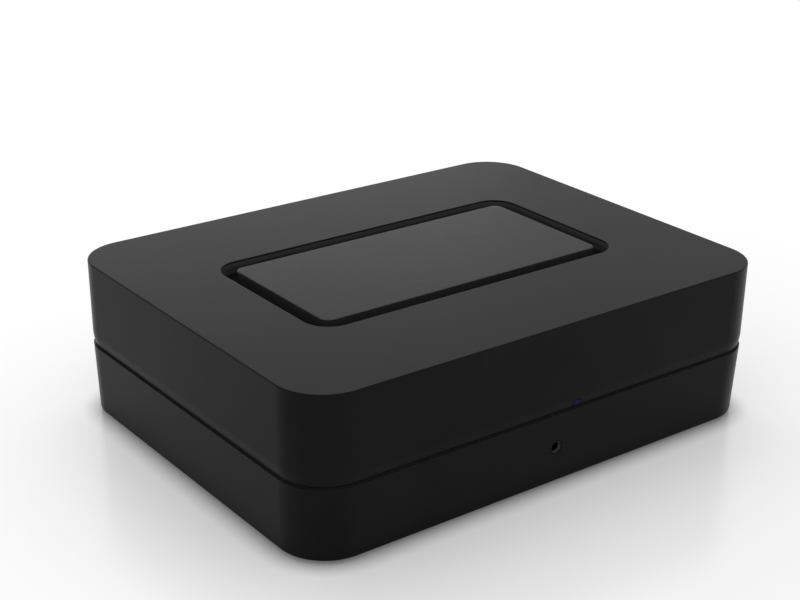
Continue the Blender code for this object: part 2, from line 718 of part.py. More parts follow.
def make_front_jack():
    """Headphone socket on the main board, and the bush that shows in the front wall."""
    start = WALL_INSIDE_Y + CLEARANCE
    jack = seated("front_jack", JACK_SIZE, (JACK_X, start + JACK_SIZE[1] / 2), "trim")
    bore_span = (start - OVERCUT, start + JACK_BORE_DEPTH)
    cut(jack, rods("jack_bore", JACK_BORE_RADIUS, bore_span, [(JACK_X, JACK_Z)], "Y"))
    length = WALL_INSIDE_Y - BUSH_FACE_Y
    profile = (
        (BUSH_RADIUS, length),
        (BUSH_RADIUS, EDGE),
        (BUSH_RADIUS - EDGE, 0.0),
        (JACK_BORE_RADIUS + EDGE, 0.0),
        (JACK_BORE_RADIUS, EDGE),
        (JACK_BORE_RADIUS, length),
    )
    turned("front_jack_bush", profile, (JACK_X, BUSH_FACE_Y, JACK_Z), "steel", "Y", ring=True)


def make_feet():
    """Four rubber feet set into the floor."""
    top = FOOT_GAP + FOOT_SINK
    profile = (
        (0.0, top),
        (FOOT_RADIUS, top),
        (FOOT_RADIUS, FOOT_ROUND),
        (FOOT_RADIUS - FOOT_ROUND, 0.0),
        (0.0, 0.0),
    )
    for place in corner_places(FOOT_X, FOOT_Y):
        turned("foot_" + corner_name(place), profile, (*place, 0.0), "rubber")


def make_case_screws():
    """Four screws up through the floor into the top shell's bosses."""
    head = SCREW_HEAD_HEIGHT
    profile = (
        (0.0, head + SCREW_LENGTH),
        (SCREW_RADIUS, head + SCREW_LENGTH),
        (SCREW_RADIUS, head),
        (SCREW_HEAD_RADIUS, head),
        (SCREW_HEAD_RADIUS, EDGE),
        (SCREW_HEAD_RADIUS - EDGE, 0.0),
        (0.0, 0.0),
    )
    places = corner_places(BOSS_X, BOSS_Y)
    start = FOOT_GAP + SCREW_SINK
    radius, depth = SCREW_SOCKET
    sockets = rods("screw_sockets", radius, (start - OVERCUT, start + depth), places, sides=HEX_SIDES)
    for place in places:
        name = "case_screw_" + corner_name(place)
        screw = turned(name, profile, (*place, start), "steel", steps=FEW_SIDES)
        cut(screw, sockets)


def panel_screw_places():
    """Axes of the two panel screws, as (x, z)."""
    return [(side * PANEL_SCREW_X, FRAME_MIDDLE_Z) for side in (-1, 1)]


def make_rear_frame():
    """Frame that lines the rear bay, with a lip that the panel is screwed to."""
    lip_y = PANEL_BACK_Y - CLEARANCE
    front = lip_y - LIP_DEPTH
    rims = ((1, EDGE, CHAMFER_STEPS),)
    frame = frame_block("rear_frame", 0.0, (front, BACK_Y - FRAME_RECESS), "trim", rims)
    bay = frame_block("frame_bay", FRAME_WALL, (lip_y, BACK_Y + OVERCUT))
    through = (front - OVERCUT, lip_y + OVERCUT)
    window = span_block(
        "frame_window",
        (
            about(0.0, FRAME_WIDTH - 2 * LIP_SIDE),
            through,
            (FRAME_Z[0] + LIP_EDGE, FRAME_Z[1] - LIP_EDGE),
        ),
    )
    holes = rods(
        "frame_screw_holes", PANEL_SCREW_RADIUS + CLEARANCE, through, panel_screw_places(), "Y", FEW_SIDES
    )
    cut(frame, bay, window, holes)


def make_rear_panel():
    """Plate that carries the sockets."""
    panel = frame_block("rear_panel", FRAME_WALL + CLEARANCE, (PANEL_BACK_Y, PANEL_FACE_Y), "trim")
    through = (PANEL_BACK_Y - OVERCUT, PANEL_FACE_Y + OVERCUT)
    windows = (
        ("mains_window", MAINS_BODY, MAINS_X, MAINS_BODY_RADIUS),
        ("ethernet_window", ETHERNET_SIZE, ETHERNET_X, 0.0),
        ("usb_window", USB_SIZE, USB_X, 0.0),
        ("optical_window", OPTICAL_SIZE, OPTICAL_X, 0.0),
    )
    for name, size, x, radius in windows:
        spans = (
            about(x, size[0] + 2 * CLEARANCE),
            through,
            (SEAT_Z - CLEARANCE, SEAT_Z + size[2] + CLEARANCE),
        )
        cut(panel, span_block(name, spans, radius=radius, along="Y"))
    holes = (
        ("panel_screw_holes", PANEL_SCREW_RADIUS, panel_screw_places()),
        ("panel_rca_holes", RCA_BARREL_RADIUS, [(x, RCA_Z) for x in RCA_PLACES.values()]),
        ("panel_reset_hole", RESET_RADIUS, [(RESET_X, RESET_Z)]),
        ("panel_post_holes", SPIGOT_RADIUS, [(x, POST_Z) for x in post_axes().values()]),
    )
    for name, radius, places in holes:
        cut(panel, rods(name, radius + CLEARANCE, through, places, "Y"))


def make_panel_screws():
    """Two screws that hold the panel to the frame's lip."""
    head = PANEL_SCREW_HEAD_HEIGHT
    profile = (
        (0.0, head),
        (PANEL_SCREW_HEAD_RADIUS - EDGE, head),
        (PANEL_SCREW_HEAD_RADIUS, head - EDGE),
        (PANEL_SCREW_HEAD_RADIUS, 0.0),
        (PANEL_SCREW_RADIUS, 0.0),
        (PANEL_SCREW_RADIUS, -PANEL_SCREW_LENGTH),
        (0.0, -PANEL_SCREW_LENGTH),
    )
    places = panel_screw_places()
    radius, depth = PANEL_SCREW_SOCKET
    face_y = FACE_GAP_Y + head
    socket_span = (face_y - depth, face_y + OVERCUT)
    sockets = rods("panel_screw_sockets", radius, socket_span, places, "Y", HEX_SIDES)
    for side, (x, z) in zip(("left", "right"), places):
        screw = turned(f"panel_screw_{side}", profile, (x, FACE_GAP_Y, z), "steel", "Y", steps=FEW_SIDES)
        cut(screw, sockets)


def make_mains_inlet():
    """Figure-eight mains inlet with two pins."""
    end = FACE_GAP_Y + MAINS_FLANGE[1]
    start = FACE_GAP_Y - MAINS_BODY[1]
    floor = end - MAINS_MOUTH[1]

    def slice_of(name, size, y_span, radius, material=None, rims=()):
        spans = (about(MAINS_X, size[0]), y_span, about(MAINS_Z, size[2]))
        form = {"radius": radius, "along": "Y", "steps": MAINS_CORNER_STEPS, "rims": rims}
        return span_block(name, spans, material, **form)

    rims = ((1, EDGE, CHAMFER_STEPS),)
    inlet = slice_of("mains_inlet", MAINS_FLANGE, (FACE_GAP_Y, end), MAINS_FLANGE_RADIUS, "trim", rims)
    body = slice_of("mains_body", MAINS_BODY, (start, FACE_GAP_Y + OVERLAP), MAINS_BODY_RADIUS)
    mouth = slice_of("mains_mouth", MAINS_MOUTH, (floor, end + OVERCUT), MAINS_MOUTH_RADIUS)
    places = [(MAINS_X + side * MAINS_PIN_PITCH / 2, MAINS_Z) for side in (-1, 1)]
    hole_span = (start - OVERCUT, floor + OVERCUT)
    holes = rods("mains_pin_holes", MAINS_PIN_RADIUS + CLEARANCE, hole_span, places, "Y")
    join(inlet, body)
    cut(inlet, mouth, holes)
    tail = start - MAINS_PIN_TAIL
    length = end - MAINS_PIN_SINK - tail
    profile = (
        (0.0, length),
        (MAINS_PIN_RADIUS - EDGE, length),
        (MAINS_PIN_RADIUS, length - 2 * EDGE),
        (MAINS_PIN_RADIUS, 0.0),
        (0.0, 0.0),
    )
    for side, (x, z) in zip(("left", "right"), places):
        turned(f"mains_pin_{side}", profile, (x, tail, z), "nickel", "Y", steps=SOME_SIDES)


def socket_box(name, size, x, material):
    """Housing of a socket that stands on the main board with its face in the rear panel."""
    return seated(name, size, (x, SOCKET_FACE_Y - size[1] / 2), material)


def socket_mouth(name, size, x, z):
    """A cutter of this size that opens a socket's face."""
    y_span = (SOCKET_FACE_Y - size[1], SOCKET_FACE_Y + OVERCUT)
    return span_block(name, (about(x, size[0]), y_span, about(z, size[2])))


def make_ethernet_jack():
    """Network socket with its stepped mouth."""
    jack = socket_box("ethernet_jack", ETHERNET_SIZE, ETHERNET_X, "nickel")
    mouth_z = SEAT_Z + ETHERNET_SIZE[2] / 2 + ETHERNET_MOUTH_LIFT
    latch_z = mouth_z - ETHERNET_MOUTH[2] / 2
    cut(
        jack,
        socket_mouth("ethernet_mouth", ETHERNET_MOUTH, ETHERNET_X, mouth_z),
        socket_mouth("ethernet_latch", ETHERNET_LATCH, ETHERNET_X, latch_z),
    )


def make_usb_port():
    """USB socket with its tongue."""
    port = socket_box("usb_port", USB_SIZE, USB_X, "nickel")
    z = SEAT_Z + USB_SIZE[2] / 2
    root_y = SOCKET_FACE_Y - USB_MOUTH[1]
    tongue = span_block(
        "usb_tongue",
        (
            about(USB_X, USB_TONGUE[0]),
            (root_y - OVERLAP, root_y + USB_TONGUE[1]),
            about(z + USB_TONGUE_LIFT, USB_TONGUE[2]),
        ),
    )
    cut(port, socket_mouth("usb_mouth", USB_MOUTH, USB_X, z))
    join(port, tongue)


def make_optical_port():
    """Optical socket with a sprung shutter that swings inwards on two pins."""
    port = socket_box("optical_port", OPTICAL_SIZE, OPTICAL_X, "trim")
    mouth = socket_mouth("optical_mouth", OPTICAL_MOUTH, OPTICAL_X, SEAT_Z + OPTICAL_SIZE[2] / 2)
    axis = [(SHUTTER_AXIS_Y, SHUTTER_AXIS_Z)]
    pin_length = SHUTTER_SIZE[0] + 2 * SHUTTER_PIN_REACH
    pin_span = about(OPTICAL_X, pin_length)
    hole_span = about(OPTICAL_X, pin_length + 2 * CLEARANCE)
    cut(port, mouth, rods("shutter_pin_holes", SHUTTER_PIN_HOLE_RADIUS, hole_span, axis, "X", FEW_SIDES))
    bm = rounded_box(SHUTTER_SIZE, SHUTTER_ROUND, "X", ROUND_STEPS)
    bmesh.ops.translate(bm, vec=(0, 0, SHUTTER_ABOVE_AXIS - SHUTTER_SIZE[2] / 2), verts=bm.verts)
    place = (OPTICAL_X, SHUTTER_AXIS_Y, SHUTTER_AXIS_Z)
    shutter = finish("optical_shutter", mesh_from("optical_shutter", bm), place, "plate")
    join(shutter, rods("shutter_pin", SHUTTER_PIN_RADIUS, pin_span, axis, "X", PEG_SIDES))


def make_rca_jacks():
    """Two phono sockets, each with a coloured collar."""
    block_end = PANEL_BACK_Y - CLEARANCE
    start = block_end - OVERLAP
    length = PANEL_FACE_Y + RCA_BARREL_REACH - start
    barrel = (
        (0.0, RCA_HOLE_FLOOR),
        (RCA_HOLE_RADIUS, RCA_HOLE_FLOOR),
        (RCA_HOLE_RADIUS, length),
        (RCA_BARREL_RADIUS - EDGE, length),
        (RCA_BARREL_RADIUS, length - EDGE),
        (RCA_BARREL_RADIUS, 0.0),
        (0.0, 0.0),
    )
    inside = RCA_BARREL_RADIUS + CLEARANCE
    collar = (
        (RCA_COLLAR_RADIUS - EDGE, RCA_COLLAR_HEIGHT),
        (RCA_COLLAR_RADIUS, RCA_COLLAR_HEIGHT - EDGE),
        (RCA_COLLAR_RADIUS, 0.0),
        (inside, 0.0),
        (inside, RCA_COLLAR_HEIGHT),
    )
    for side, x in RCA_PLACES.items():
        jack = turned(f"rca_jack_{side}", barrel, (x, start, RCA_Z), "gold", "Y", steps=SOME_SIDES)
        join(jack, block(f"rca_block_{side}", RCA_BLOCK, (x, block_end - RCA_BLOCK[1] / 2, RCA_Z)))
        colour = "white" if side == "left" else "red"
        turned(f"rca_collar_{side}", collar, (x, FACE_GAP_Y, RCA_Z), colour, "Y", ring=True)


def make_reset_button():
    """Push button in the rear panel, and the switch behind it."""
    inner_y = PANEL_BACK_Y - RESET_DEPTH
    flange = RESET_DEPTH - CLEARANCE
    face = RESET_DEPTH + PANEL_THICKNESS + RESET_PROUD
    profile = (
        (0.0, face),
        (RESET_RADIUS - EDGE, face),
        (RESET_RADIUS, face - EDGE),
        (RESET_RADIUS, flange),
        (RESET_FLANGE_RADIUS, flange),
        (RESET_FLANGE_RADIUS, flange - RESET_FLANGE_HEIGHT),
        (RESET_STEM_RADIUS, flange - RESET_FLANGE_HEIGHT),
        (RESET_STEM_RADIUS, 0.0),
        (0.0, 0.0),
    )
    turned("reset_button", profile, (RESET_X, inner_y, RESET_Z), "plate", "Y", steps=SOME_SIDES)
    switch_end = inner_y - SWITCH_SPACE
    switch = seated("reset_switch", SWITCH_SIZE, (RESET_X, switch_end - SWITCH_SIZE[1] / 2), "trim")
    plunger_span = (switch_end - OVERLAP, switch_end + PLUNGER_REACH)
    join(switch, rods("switch_plunger", PLUNGER_RADIUS, plunger_span, [(RESET_X, RESET_Z)], "Y", FEW_SIDES))


def pair_axes(x):
    """X of the two posts of a pair, by pole."""
    return {pole: x + sign * POST_PITCH / 2 for pole, sign in POLES.items()}


def post_axes():
    """X of each of the four posts, by channel and pole."""
    return {
        (channel, pole): x
        for channel, middle in POST_PAIRS.items()
        for pole, x in pair_axes(middle).items()
    }


def make_post_block(channel):
    """Insulating block that carries one pair of posts through the panel."""
    middle = POST_PAIRS[channel]
    places = [(x, POST_Z) for x in pair_axes(middle).values()]
    spans = (
        about(middle, 2 * POST_PITCH),
        (FACE_GAP_Y, BLOCK_FACE_Y),
        about(POST_Z, 2 * POST_BLOCK_HALF_HEIGHT),
    )
    form = {"radius": POST_BLOCK_RADIUS, "along": "Y", "rims": ((1, EDGE, CHAMFER_STEPS),)}
    carrier = span_block(f"post_block_{channel}", spans, "trim", **form)
    spigot_span = (PANEL_BACK_Y - SPIGOT_REACH, FACE_GAP_Y + OVERLAP)
    bore_span = (spigot_span[0] - OVERCUT, BLOCK_FACE_Y + OVERCUT)
    join(carrier, rods(f"post_spigots_{channel}", SPIGOT_RADIUS, spigot_span, places, "Y"))
    cut(carrier, rods(f"post_bores_{channel}", STUD_RADIUS + CLEARANCE, bore_span, places, "Y"))


def make_post_stud(name, x):
    """Bored metal stud with a clamp nut behind the panel."""
    tail_y = PANEL_BACK_Y - STUD_TAIL
    end = STUD_END_Y - tail_y
    bore = end - STUD_BORE_DEPTH
    nut = STUD_TAIL - SPIGOT_REACH - CLEARANCE
    profile = (
        (0.0, bore),
        (STUD_BORE_RADIUS, bore),
        (STUD_BORE_RADIUS, end),
        (STUD_RADIUS, end),
        (STUD_RADIUS, nut),
        (NUT_RADIUS, nut),
        (NUT_RADIUS, nut - NUT_HEIGHT),
        (STUD_RADIUS, nut - NUT_HEIGHT),
        (STUD_RADIUS, 0.0),
        (0.0, 0.0),
    )
    turned(name, profile, (x, tail_y, POST_Z), "gold", "Y", steps=SOME_SIDES)


def make_post_insert(name, x):
    """Threaded sleeve inside the grip, which climbs the stud as the grip turns."""
    start = GRIP_START_Y + INSERT_SINK
    length = STUD_END_Y - start
    inside = STUD_RADIUS + CLEARANCE
    profile = ((INSERT_RADIUS, length), (INSERT_RADIUS, 0.0), (inside, 0.0), (inside, length))
    turned(name, profile, (x, start, POST_Z), "gold", "Y", ring=True, steps=SOME_SIDES)


def make_post_grip(name, x, colour):
    """Fluted grip with a hole in its end for a plug."""
    length = GRIP_END_Y - GRIP_START_Y
    middle_y = (GRIP_START_Y + GRIP_END_Y) / 2
    bm = bmesh.new()
    bmesh.ops.create_cone(
        bm, cap_ends=True, segments=2 * GRIP_FLUTES, radius1=GRIP_RADIUS, radius2=GRIP_RADIUS, depth=length
    )
    for vertex in bm.verts:
        in_flute = round(math.atan2(vertex.co.y, vertex.co.x) / math.pi * GRIP_FLUTES) % 2
        vertex.co.xy *= 1 - in_flute * FLUTE_DEPTH / GRIP_RADIUS
    bevel_rim(bm, "XYZ".index("Z"), 1, EDGE, CHAMFER_STEPS)
    place = (x, middle_y, POST_Z)
    grip = finish(name, mesh_from(name, bm), place, colour)
    grip.rotation_euler = TURNS["Y"]
    shoulder = STUD_END_Y + GRIP_SHOULDER - middle_y
    bore_radius = INSERT_RADIUS + CLEARANCE
    bore = (
        (0.0, length),
        (GRIP_HOLE_RADIUS, length),
        (GRIP_HOLE_RADIUS, shoulder),
        (bore_radius, shoulder),
        (bore_radius, -length),
        (0.0, -length),
    )
    cut(grip, turned(f"{name}_bore", bore, place, None, "Y", steps=SOME_SIDES))


def make_speaker_posts():
    """Four speaker posts in two pairs, and the board behind them."""
    axes = post_axes()
    for channel in POST_PAIRS:
        make_post_block(channel)
    for (channel, pole), x in axes.items():
        make_post_stud(f"post_stud_{channel}_{pole}", x)
        make_post_insert(f"post_insert_{channel}_{pole}", x)
        make_post_grip(f"post_grip_{channel}_{pole}", x, "red" if pole == "plus" else "trim")
    y_span = (TERMINAL_BOARD_Y, TERMINAL_BOARD_Y + BOARD_THICKNESS)
    x_span = (min(axes.values()) - TERMINAL_BOARD_MARGIN, max(axes.values()) + TERMINAL_BOARD_MARGIN)
    z_span = about(POST_Z, 2 * TERMINAL_BOARD_MARGIN)
    board = span_block("terminal_board", (x_span, y_span, z_span), "board")
    hole_span = (y_span[0] - OVERCUT, y_span[1] + OVERCUT)
    places = [(x, POST_Z) for x in axes.values()]
    cut(board, rods("terminal_holes", STUD_RADIUS + CLEARANCE, hole_span, places, "Y"))


def make_boards():
    """Main board and power board on the floor's pegs."""
    hole_span = (BOARD_Z - OVERCUT, BOARD_TOP_Z + OVERCUT)
    holes = rods("board_peg_holes", PEG_RADIUS + CLEARANCE, hole_span, PEG_PLACES, sides=PEG_SIDES)
    for name, (x_span, y_span) in BOARDS.items():
        spans = (x_span, y_span, (BOARD_Z, BOARD_TOP_Z))
        cut(span_block(name, spans, "board", radius=BOARD_RADIUS, steps=ROUND_STEPS), holes)


def make_heat_sink():
    """Finned cooler over the amplifier."""
    sink = seated("heat_sink", SINK_SIZE, SINK_PLACE, "aluminium")
    size = (FIN_THICKNESS, SINK_SIZE[1] - 2 * EDGE, FIN_HEIGHT + OVERLAP)
    pitch = (SINK_SIZE[0] - FIN_THICKNESS - 2 * EDGE) / (FIN_COUNT - 1)
    z = SEAT_Z + SINK_SIZE[2] - OVERLAP + size[2] / 2
    join(sink, slats("heat_sink_fins", size, FIN_COUNT, pitch, (*SINK_PLACE, z)))


def make_board_parts():
    """What else stands on the two boards."""
    chip = {"radius": CHIP_RADIUS, "steps": ROUND_STEPS}
    seated("wireless_module", MODULE_SIZE, MODULE_PLACE, "nickel", **chip)
    seated("processor", PROCESSOR_SIZE, PROCESSOR_PLACE, "trim", **chip)
    winding = {"radius": TRANSFORMER_ROUND, "along": "Y"}
    seated("power_transformer", TRANSFORMER_SIZE, TRANSFORMER_PLACE, "tape", **winding)
    profile = (
        (0.0, CAPACITOR_HEIGHT),
        (CAPACITOR_RADIUS - 2 * EDGE, CAPACITOR_HEIGHT),
        (CAPACITOR_RADIUS, CAPACITOR_HEIGHT - 2 * EDGE),
        (CAPACITOR_RADIUS, 0.0),
        (0.0, 0.0),
    )
    turned("reservoir_capacitor", profile, (*CAPACITOR_PLACE, SEAT_Z), "steel", steps=SOME_SIDES)


def make_cables():
    """Power lead between the boards, and speaker lead up to the posts."""
    end_z = SEAT_Z + CLEARANCE
    near, far = CABLE_END
    heights = (end_z, end_z + near, end_z + far)
    left, right = POWER_CABLE_X
    arch = (
        *((left, POWER_CABLE_Y, z) for z in heights),
        ((left + right) / 2, POWER_CABLE_Y, POWER_CABLE_TOP_Z),
        *((right, POWER_CABLE_Y, z) for z in reversed(heights)),
    )
    tube("power_cable", smooth_route(arch, CABLE_POINTS), POWER_CABLE_RADIUS, "red")
    x = sum(POST_PAIRS.values()) / 2
    y = TERMINAL_BOARD_Y - 2 * CLEARANCE
    foot_y = y - SPEAKER_CABLE_RUN
    rise = (
        *((x, y - step, POST_Z) for step in (0.0, near, far)),
        *((x, foot_y, z) for z in ((POST_Z + end_z) / 2, end_z + far, end_z + near, end_z)),
    )
    tube("speaker_cable", smooth_route(rise, CABLE_POINTS), SPEAKER_CABLE_RADIUS, "trim")


def main():
    """Build every piece of the receiver."""
    bay = make_bay()
    light_slot = make_light_slot()
    make_top_shell(bay, light_slot)
    make_base_shell(bay)
    make_waist_band(bay, light_slot)
    make_touch_tray()
    make_touch_plate()
    make_ribbon_cable()
    make_status_light()
    make_front_jack()
    make_feet()
    make_case_screws()
    make_rear_frame()
    make_rear_panel()
    make_panel_screws()
    make_mains_inlet()
    make_ethernet_jack()
    make_usb_port()
    make_optical_port()
    make_rca_jacks()
    make_reset_button()
    make_speaker_posts()
    make_boards()
    make_heat_sink()
    make_board_parts()
    make_cables()


main()
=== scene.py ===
"""Looks of a bluetooth audio receiver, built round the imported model.

Metres, +Z up, the front faces -Y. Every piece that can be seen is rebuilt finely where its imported
node is, from the node's box and the sizes below. It rides on the node's body and stands for it.
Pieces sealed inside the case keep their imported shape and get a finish.
"""

import json
import math

import bmesh
import bpy
from mathutils import Matrix, Vector

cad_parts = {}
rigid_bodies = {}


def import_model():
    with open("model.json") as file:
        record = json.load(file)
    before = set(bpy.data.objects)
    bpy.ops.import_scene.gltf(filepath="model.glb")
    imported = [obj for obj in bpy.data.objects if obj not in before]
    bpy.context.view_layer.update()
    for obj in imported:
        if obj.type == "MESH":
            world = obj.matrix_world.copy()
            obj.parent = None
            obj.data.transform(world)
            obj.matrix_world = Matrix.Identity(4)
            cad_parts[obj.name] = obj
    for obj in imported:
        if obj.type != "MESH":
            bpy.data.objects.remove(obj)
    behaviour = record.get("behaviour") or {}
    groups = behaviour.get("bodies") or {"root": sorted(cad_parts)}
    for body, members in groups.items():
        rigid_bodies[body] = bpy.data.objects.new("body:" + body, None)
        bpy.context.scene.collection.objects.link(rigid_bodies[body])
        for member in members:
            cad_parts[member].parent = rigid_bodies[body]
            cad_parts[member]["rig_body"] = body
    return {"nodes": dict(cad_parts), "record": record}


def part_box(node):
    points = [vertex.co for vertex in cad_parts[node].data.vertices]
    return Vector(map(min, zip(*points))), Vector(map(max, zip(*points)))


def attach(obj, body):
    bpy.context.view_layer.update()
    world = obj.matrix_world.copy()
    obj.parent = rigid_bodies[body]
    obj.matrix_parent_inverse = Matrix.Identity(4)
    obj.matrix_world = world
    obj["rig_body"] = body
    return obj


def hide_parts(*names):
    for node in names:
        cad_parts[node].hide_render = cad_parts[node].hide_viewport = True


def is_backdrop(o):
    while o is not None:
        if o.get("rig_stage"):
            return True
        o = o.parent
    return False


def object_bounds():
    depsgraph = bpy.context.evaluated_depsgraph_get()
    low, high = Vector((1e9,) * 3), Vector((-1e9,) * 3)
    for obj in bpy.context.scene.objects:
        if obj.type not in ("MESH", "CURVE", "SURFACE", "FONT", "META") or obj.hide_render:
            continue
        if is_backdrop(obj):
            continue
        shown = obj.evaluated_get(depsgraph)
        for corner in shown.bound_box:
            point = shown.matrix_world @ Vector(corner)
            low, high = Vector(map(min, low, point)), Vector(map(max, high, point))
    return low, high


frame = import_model()
CAD_LOW, CAD_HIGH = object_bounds()
SLOTS = {part["node"]: part["material_slot"] for part in frame["record"]["subparts"]}

# Camera of the photograph, which is 800 by 600 pixels
CAMERA_PLACE = (-0.4084, -0.5330, 0.3307)
CAMERA_HEADING = math.radians(-37.426)
CAMERA_TILT = math.radians(25.427)
CAMERA_ROLL = math.radians(0.765)
CAMERA_LENS = 71.048
CAMERA_SENSOR = 36.0
CAMERA_SHIFT = (-0.015, 0.1)
CAMERA_CLIP = 0.01

# Floor, world and lamps
FLOOR_RADIUS = 1.6
FLOOR_DROP = 0.0001
FLOOR_SIDES = 96
FLOOR_COLOUR = (0.90, 0.90, 0.905)
FLOOR_ROUGHNESS = 0.2
FLOOR_IOR = 1.7
FLOOR_MIDDLE = (0.03, -0.03, 0.0)
FLOOR_FADE = (0.16, 0.34)
FLOOR_WHITE = (0.24, 1.0)
CONTACT_REACH = 0.010
CONTACT_OPEN = (0.5, 1.0)
CONTACT_LIGHT = (0.4, 1.0)
WORLD_LIGHT = 0.9
WHITE = 1.0
LAMPS = {
    "overhead_lamp": ((0.35, 0.7, 1.4), (1.2, 1.2), 5.0),
    "back_lamp": ((0.40, 1.52, 0.31), (1.6, 0.5), 1.9),
}

# Fineness of the meshes, and small distances and shares used all over
CASE_STEPS = 20
SMALL_STEPS = 8
FILLET_STEPS = 4
ROUND_SIDES = 48
PEG_SIDES = 24
PIN_SIDES = 16
HEX_SIDES = 6
WIRE_ROUNDNESS = 2
SHARP_ANGLE = math.radians(32)
SAME_PLACE = 0.000002
OVERCUT = 0.001
SINK = 0.001
CLEARANCE = 0.0003
END_CAP = 0.5

# Case
CORNER_RADIUS = 0.022
WALL = 0.0045
CAP_INSET = 3 * WALL
TOP_THICKNESS = 0.003
WAIST_GAP = 0.0008
FLOOR_THICKNESS = 0.0025
TOP_ROUND = 0.0006
BASE_ROUND = 0.0012
BASE_DRAFT = 0.0010
RIM_ROUND = 0.0002
EDGE_ROUND = 0.0004
FINE_ROUND = 0.0001
UNDERCUT_DEPTH = 0.0008
UNDERCUT_HEIGHT = 0.0040
UNDERCUT_ROUND = 0.016
GROOVE_INSET = 0.0006
INNER_ROUND = 0.0015
MOUTH_ROUND = 0.0004
HOLE_ROUND = 0.0003
BAND_THICKNESS = 0.002
BAND_ROUND = 0.0004
BOSS_RADIUS = 0.0045
PILOT_RADIUS = 0.0018
PILOT_TOP = 0.030

# Touch plate and moat
MOAT_GAP = 0.0072
MOAT_RADIUS = 0.0122
PLATE_RADIUS = 0.0045
PLATE_WALL = 0.002
PLATE_CAP_INSET = 3 * PLATE_WALL
PLATE_ROUND = 0.0005
TRAY_SHEET = 0.0015
TRAY_GAP = 0.0005
TRAY_FLANGE = 0.006

# Headphone socket's ring and the light pipe
BUSH_BORE = 0.0018
BUSH_LIP = 0.0003
BUSH_FLARE = 0.0008
LIGHT_LIFT = 0.0002
LIGHT_STEM = 0.0025

# Vents in the base, and the pegs that carry the boards
VENT_COUNT = 9
VENT_SIZE = (0.003, 0.028)
VENT_PITCH = 0.009
VENT_ROWS_Y = (-0.040, 0.015)
STANDOFF_RADIUS = 0.003
PEG_RADIUS = 0.0014
PEG_PLACES = (
    (-0.016, -0.076), (0.088, -0.084), (-0.016, 0.040), (0.088, 0.050),
    (-0.090, -0.060), (-0.034, -0.060), (-0.090, 0.050), (-0.034, 0.050),
)

# Screws: shank radius, head height, and the radius and depth of the hexagon socket
SCREWS = {
    "case_screw": (0.0015, 0.002, 0.0014, 0.0012),
    "panel_screw": (0.00125, 0.0015, 0.0013, 0.001),
}
SCREW_TIP = 0.4
SCREW_FACE = 0.6

# Feet: the ring in the sole and the caps of top and sole, as shares of the radius
FOOT_ROUND = 0.0008
FOOT_RING = (0.62, 0.58, 0.46, 0.42)
FOOT_RING_DEPTH = 0.0005
FOOT_CAPS = (0.4, 0.2)

# Rear frame and panel
FRAME_RADIUS = 0.005
FRAME_WALL = 0.003
FRAME_ROUND = 0.0005
LIP_SIDE = 0.010
LIP_EDGE = 0.0055
LIP_DEPTH = 0.0017
PANEL_RADIUS = 0.0017
WINDOW_RADIUS = 0.0004

# Mains inlet: the flange's depth, then half sizes and radii of body and mouth
MAINS_FLANGE_DEPTH = 0.0016
MAINS_FLANGE_RADIUS = 0.004
MAINS_BODY = (0.0115, 0.0072)
MAINS_BODY_RADIUS = 0.0067
MAINS_LOBE_RADIUS = 0.0047
MAINS_LOBE_OFFSET = 0.0040
MAINS_WAIST = 0.0012
MAINS_MOUTH_DEPTH = 0.0125
MAINS_PIN_RADIUS = 0.0012
MAINS_PIN_TIP = 0.8

# Sockets: half sizes of the mouth, its lift above the housing's middle, and its depth
SOCKET_RADIUS = 0.0005
ETHERNET_MOUTH = (0.00595, 0.0039, 0.0007, 0.012)
ETHERNET_LATCH = (0.0031, 0.0012)
USB_MOUTH = (0.0063, 0.0026, 0.0, 0.010)
USB_TONGUE = (0.0055, 0.00095, 0.0008, 0.009)
OPTICAL_MOUTH = (0.0042, 0.0042, 0.0, 0.012)

# Spring contacts: steps in from the network socket's face and mouth, and in from the USB tongue's tip
CONTACT_RADIUS = 0.00022
ETHERNET_CONTACTS = 8
ETHERNET_PITCH = 0.00102
ETHERNET_SPRING = ((0.0015, CONTACT_RADIUS), (0.0022, 0.0006), (0.0095, 0.0034), (0.012, 0.0036))
USB_CONTACTS = 4
USB_PITCH = 0.0023
USB_SPRING = ((0.0012, 0.0), (0.0006, 0.0002))

# Optical shutter: width and thickness, and its hinge pin
SHUTTER_SIZE = (0.0078, 0.0008)
SHUTTER_ABOVE_AXIS = 0.0004
SHUTTER_PIN_RADIUS = 0.0003
SHUTTER_PIN_HOLE_RADIUS = 0.0008

# Phono sockets
RCA_BARREL_RADIUS = 0.00415
RCA_BARREL_WALL = 0.0008
RCA_CORE_SINK = 0.0006
RCA_HOLE_RADIUS = 0.00165
RCA_CONTACT_WALL = 0.0004
RCA_BLOCK_END = 0.0003
RCA_COLLAR_ROUND = 0.0006

# Reset button
RESET_RADIUS = 0.00275
RESET_STEM_RADIUS = 0.0017
RESET_FLANGE = 0.0011
RESET_DISH = 0.0003
RESET_RIM = 0.72
RESET_HOLLOW = 0.3

# Speaker posts
SPIGOT_RADIUS = 0.0039
POST_BLOCK_RADIUS = 0.003
POST_BLOCK_ROUND = 0.0005
POST_BLOCK_THICKNESS = 0.0036
STUD_RADIUS = 0.003
STUD_BORE = (0.00205, 0.008)
NUT_HEIGHT = 0.0024
THREAD_DEPTH = 0.0003
THREAD_PITCH = 0.001
THREAD_STEPS = 6
GRIP_FLUTES = 12
FLUTE_DEPTH = 0.00055
FLUTE_STEPS = 8
GRIP_BAND = 0.0016
GRIP_HOLE_RADIUS = 0.0022
GRIP_BORE_RADIUS = 0.0046
GRIP_SHOULDER = 0.0058
GRIP_ROUND = 0.0005

# Which index of a point is across and up an outline, and which runs along its axis
AXES = {"X": (1, 2, 0), "Y": (0, 2, 1), "Z": (0, 1, 2)}

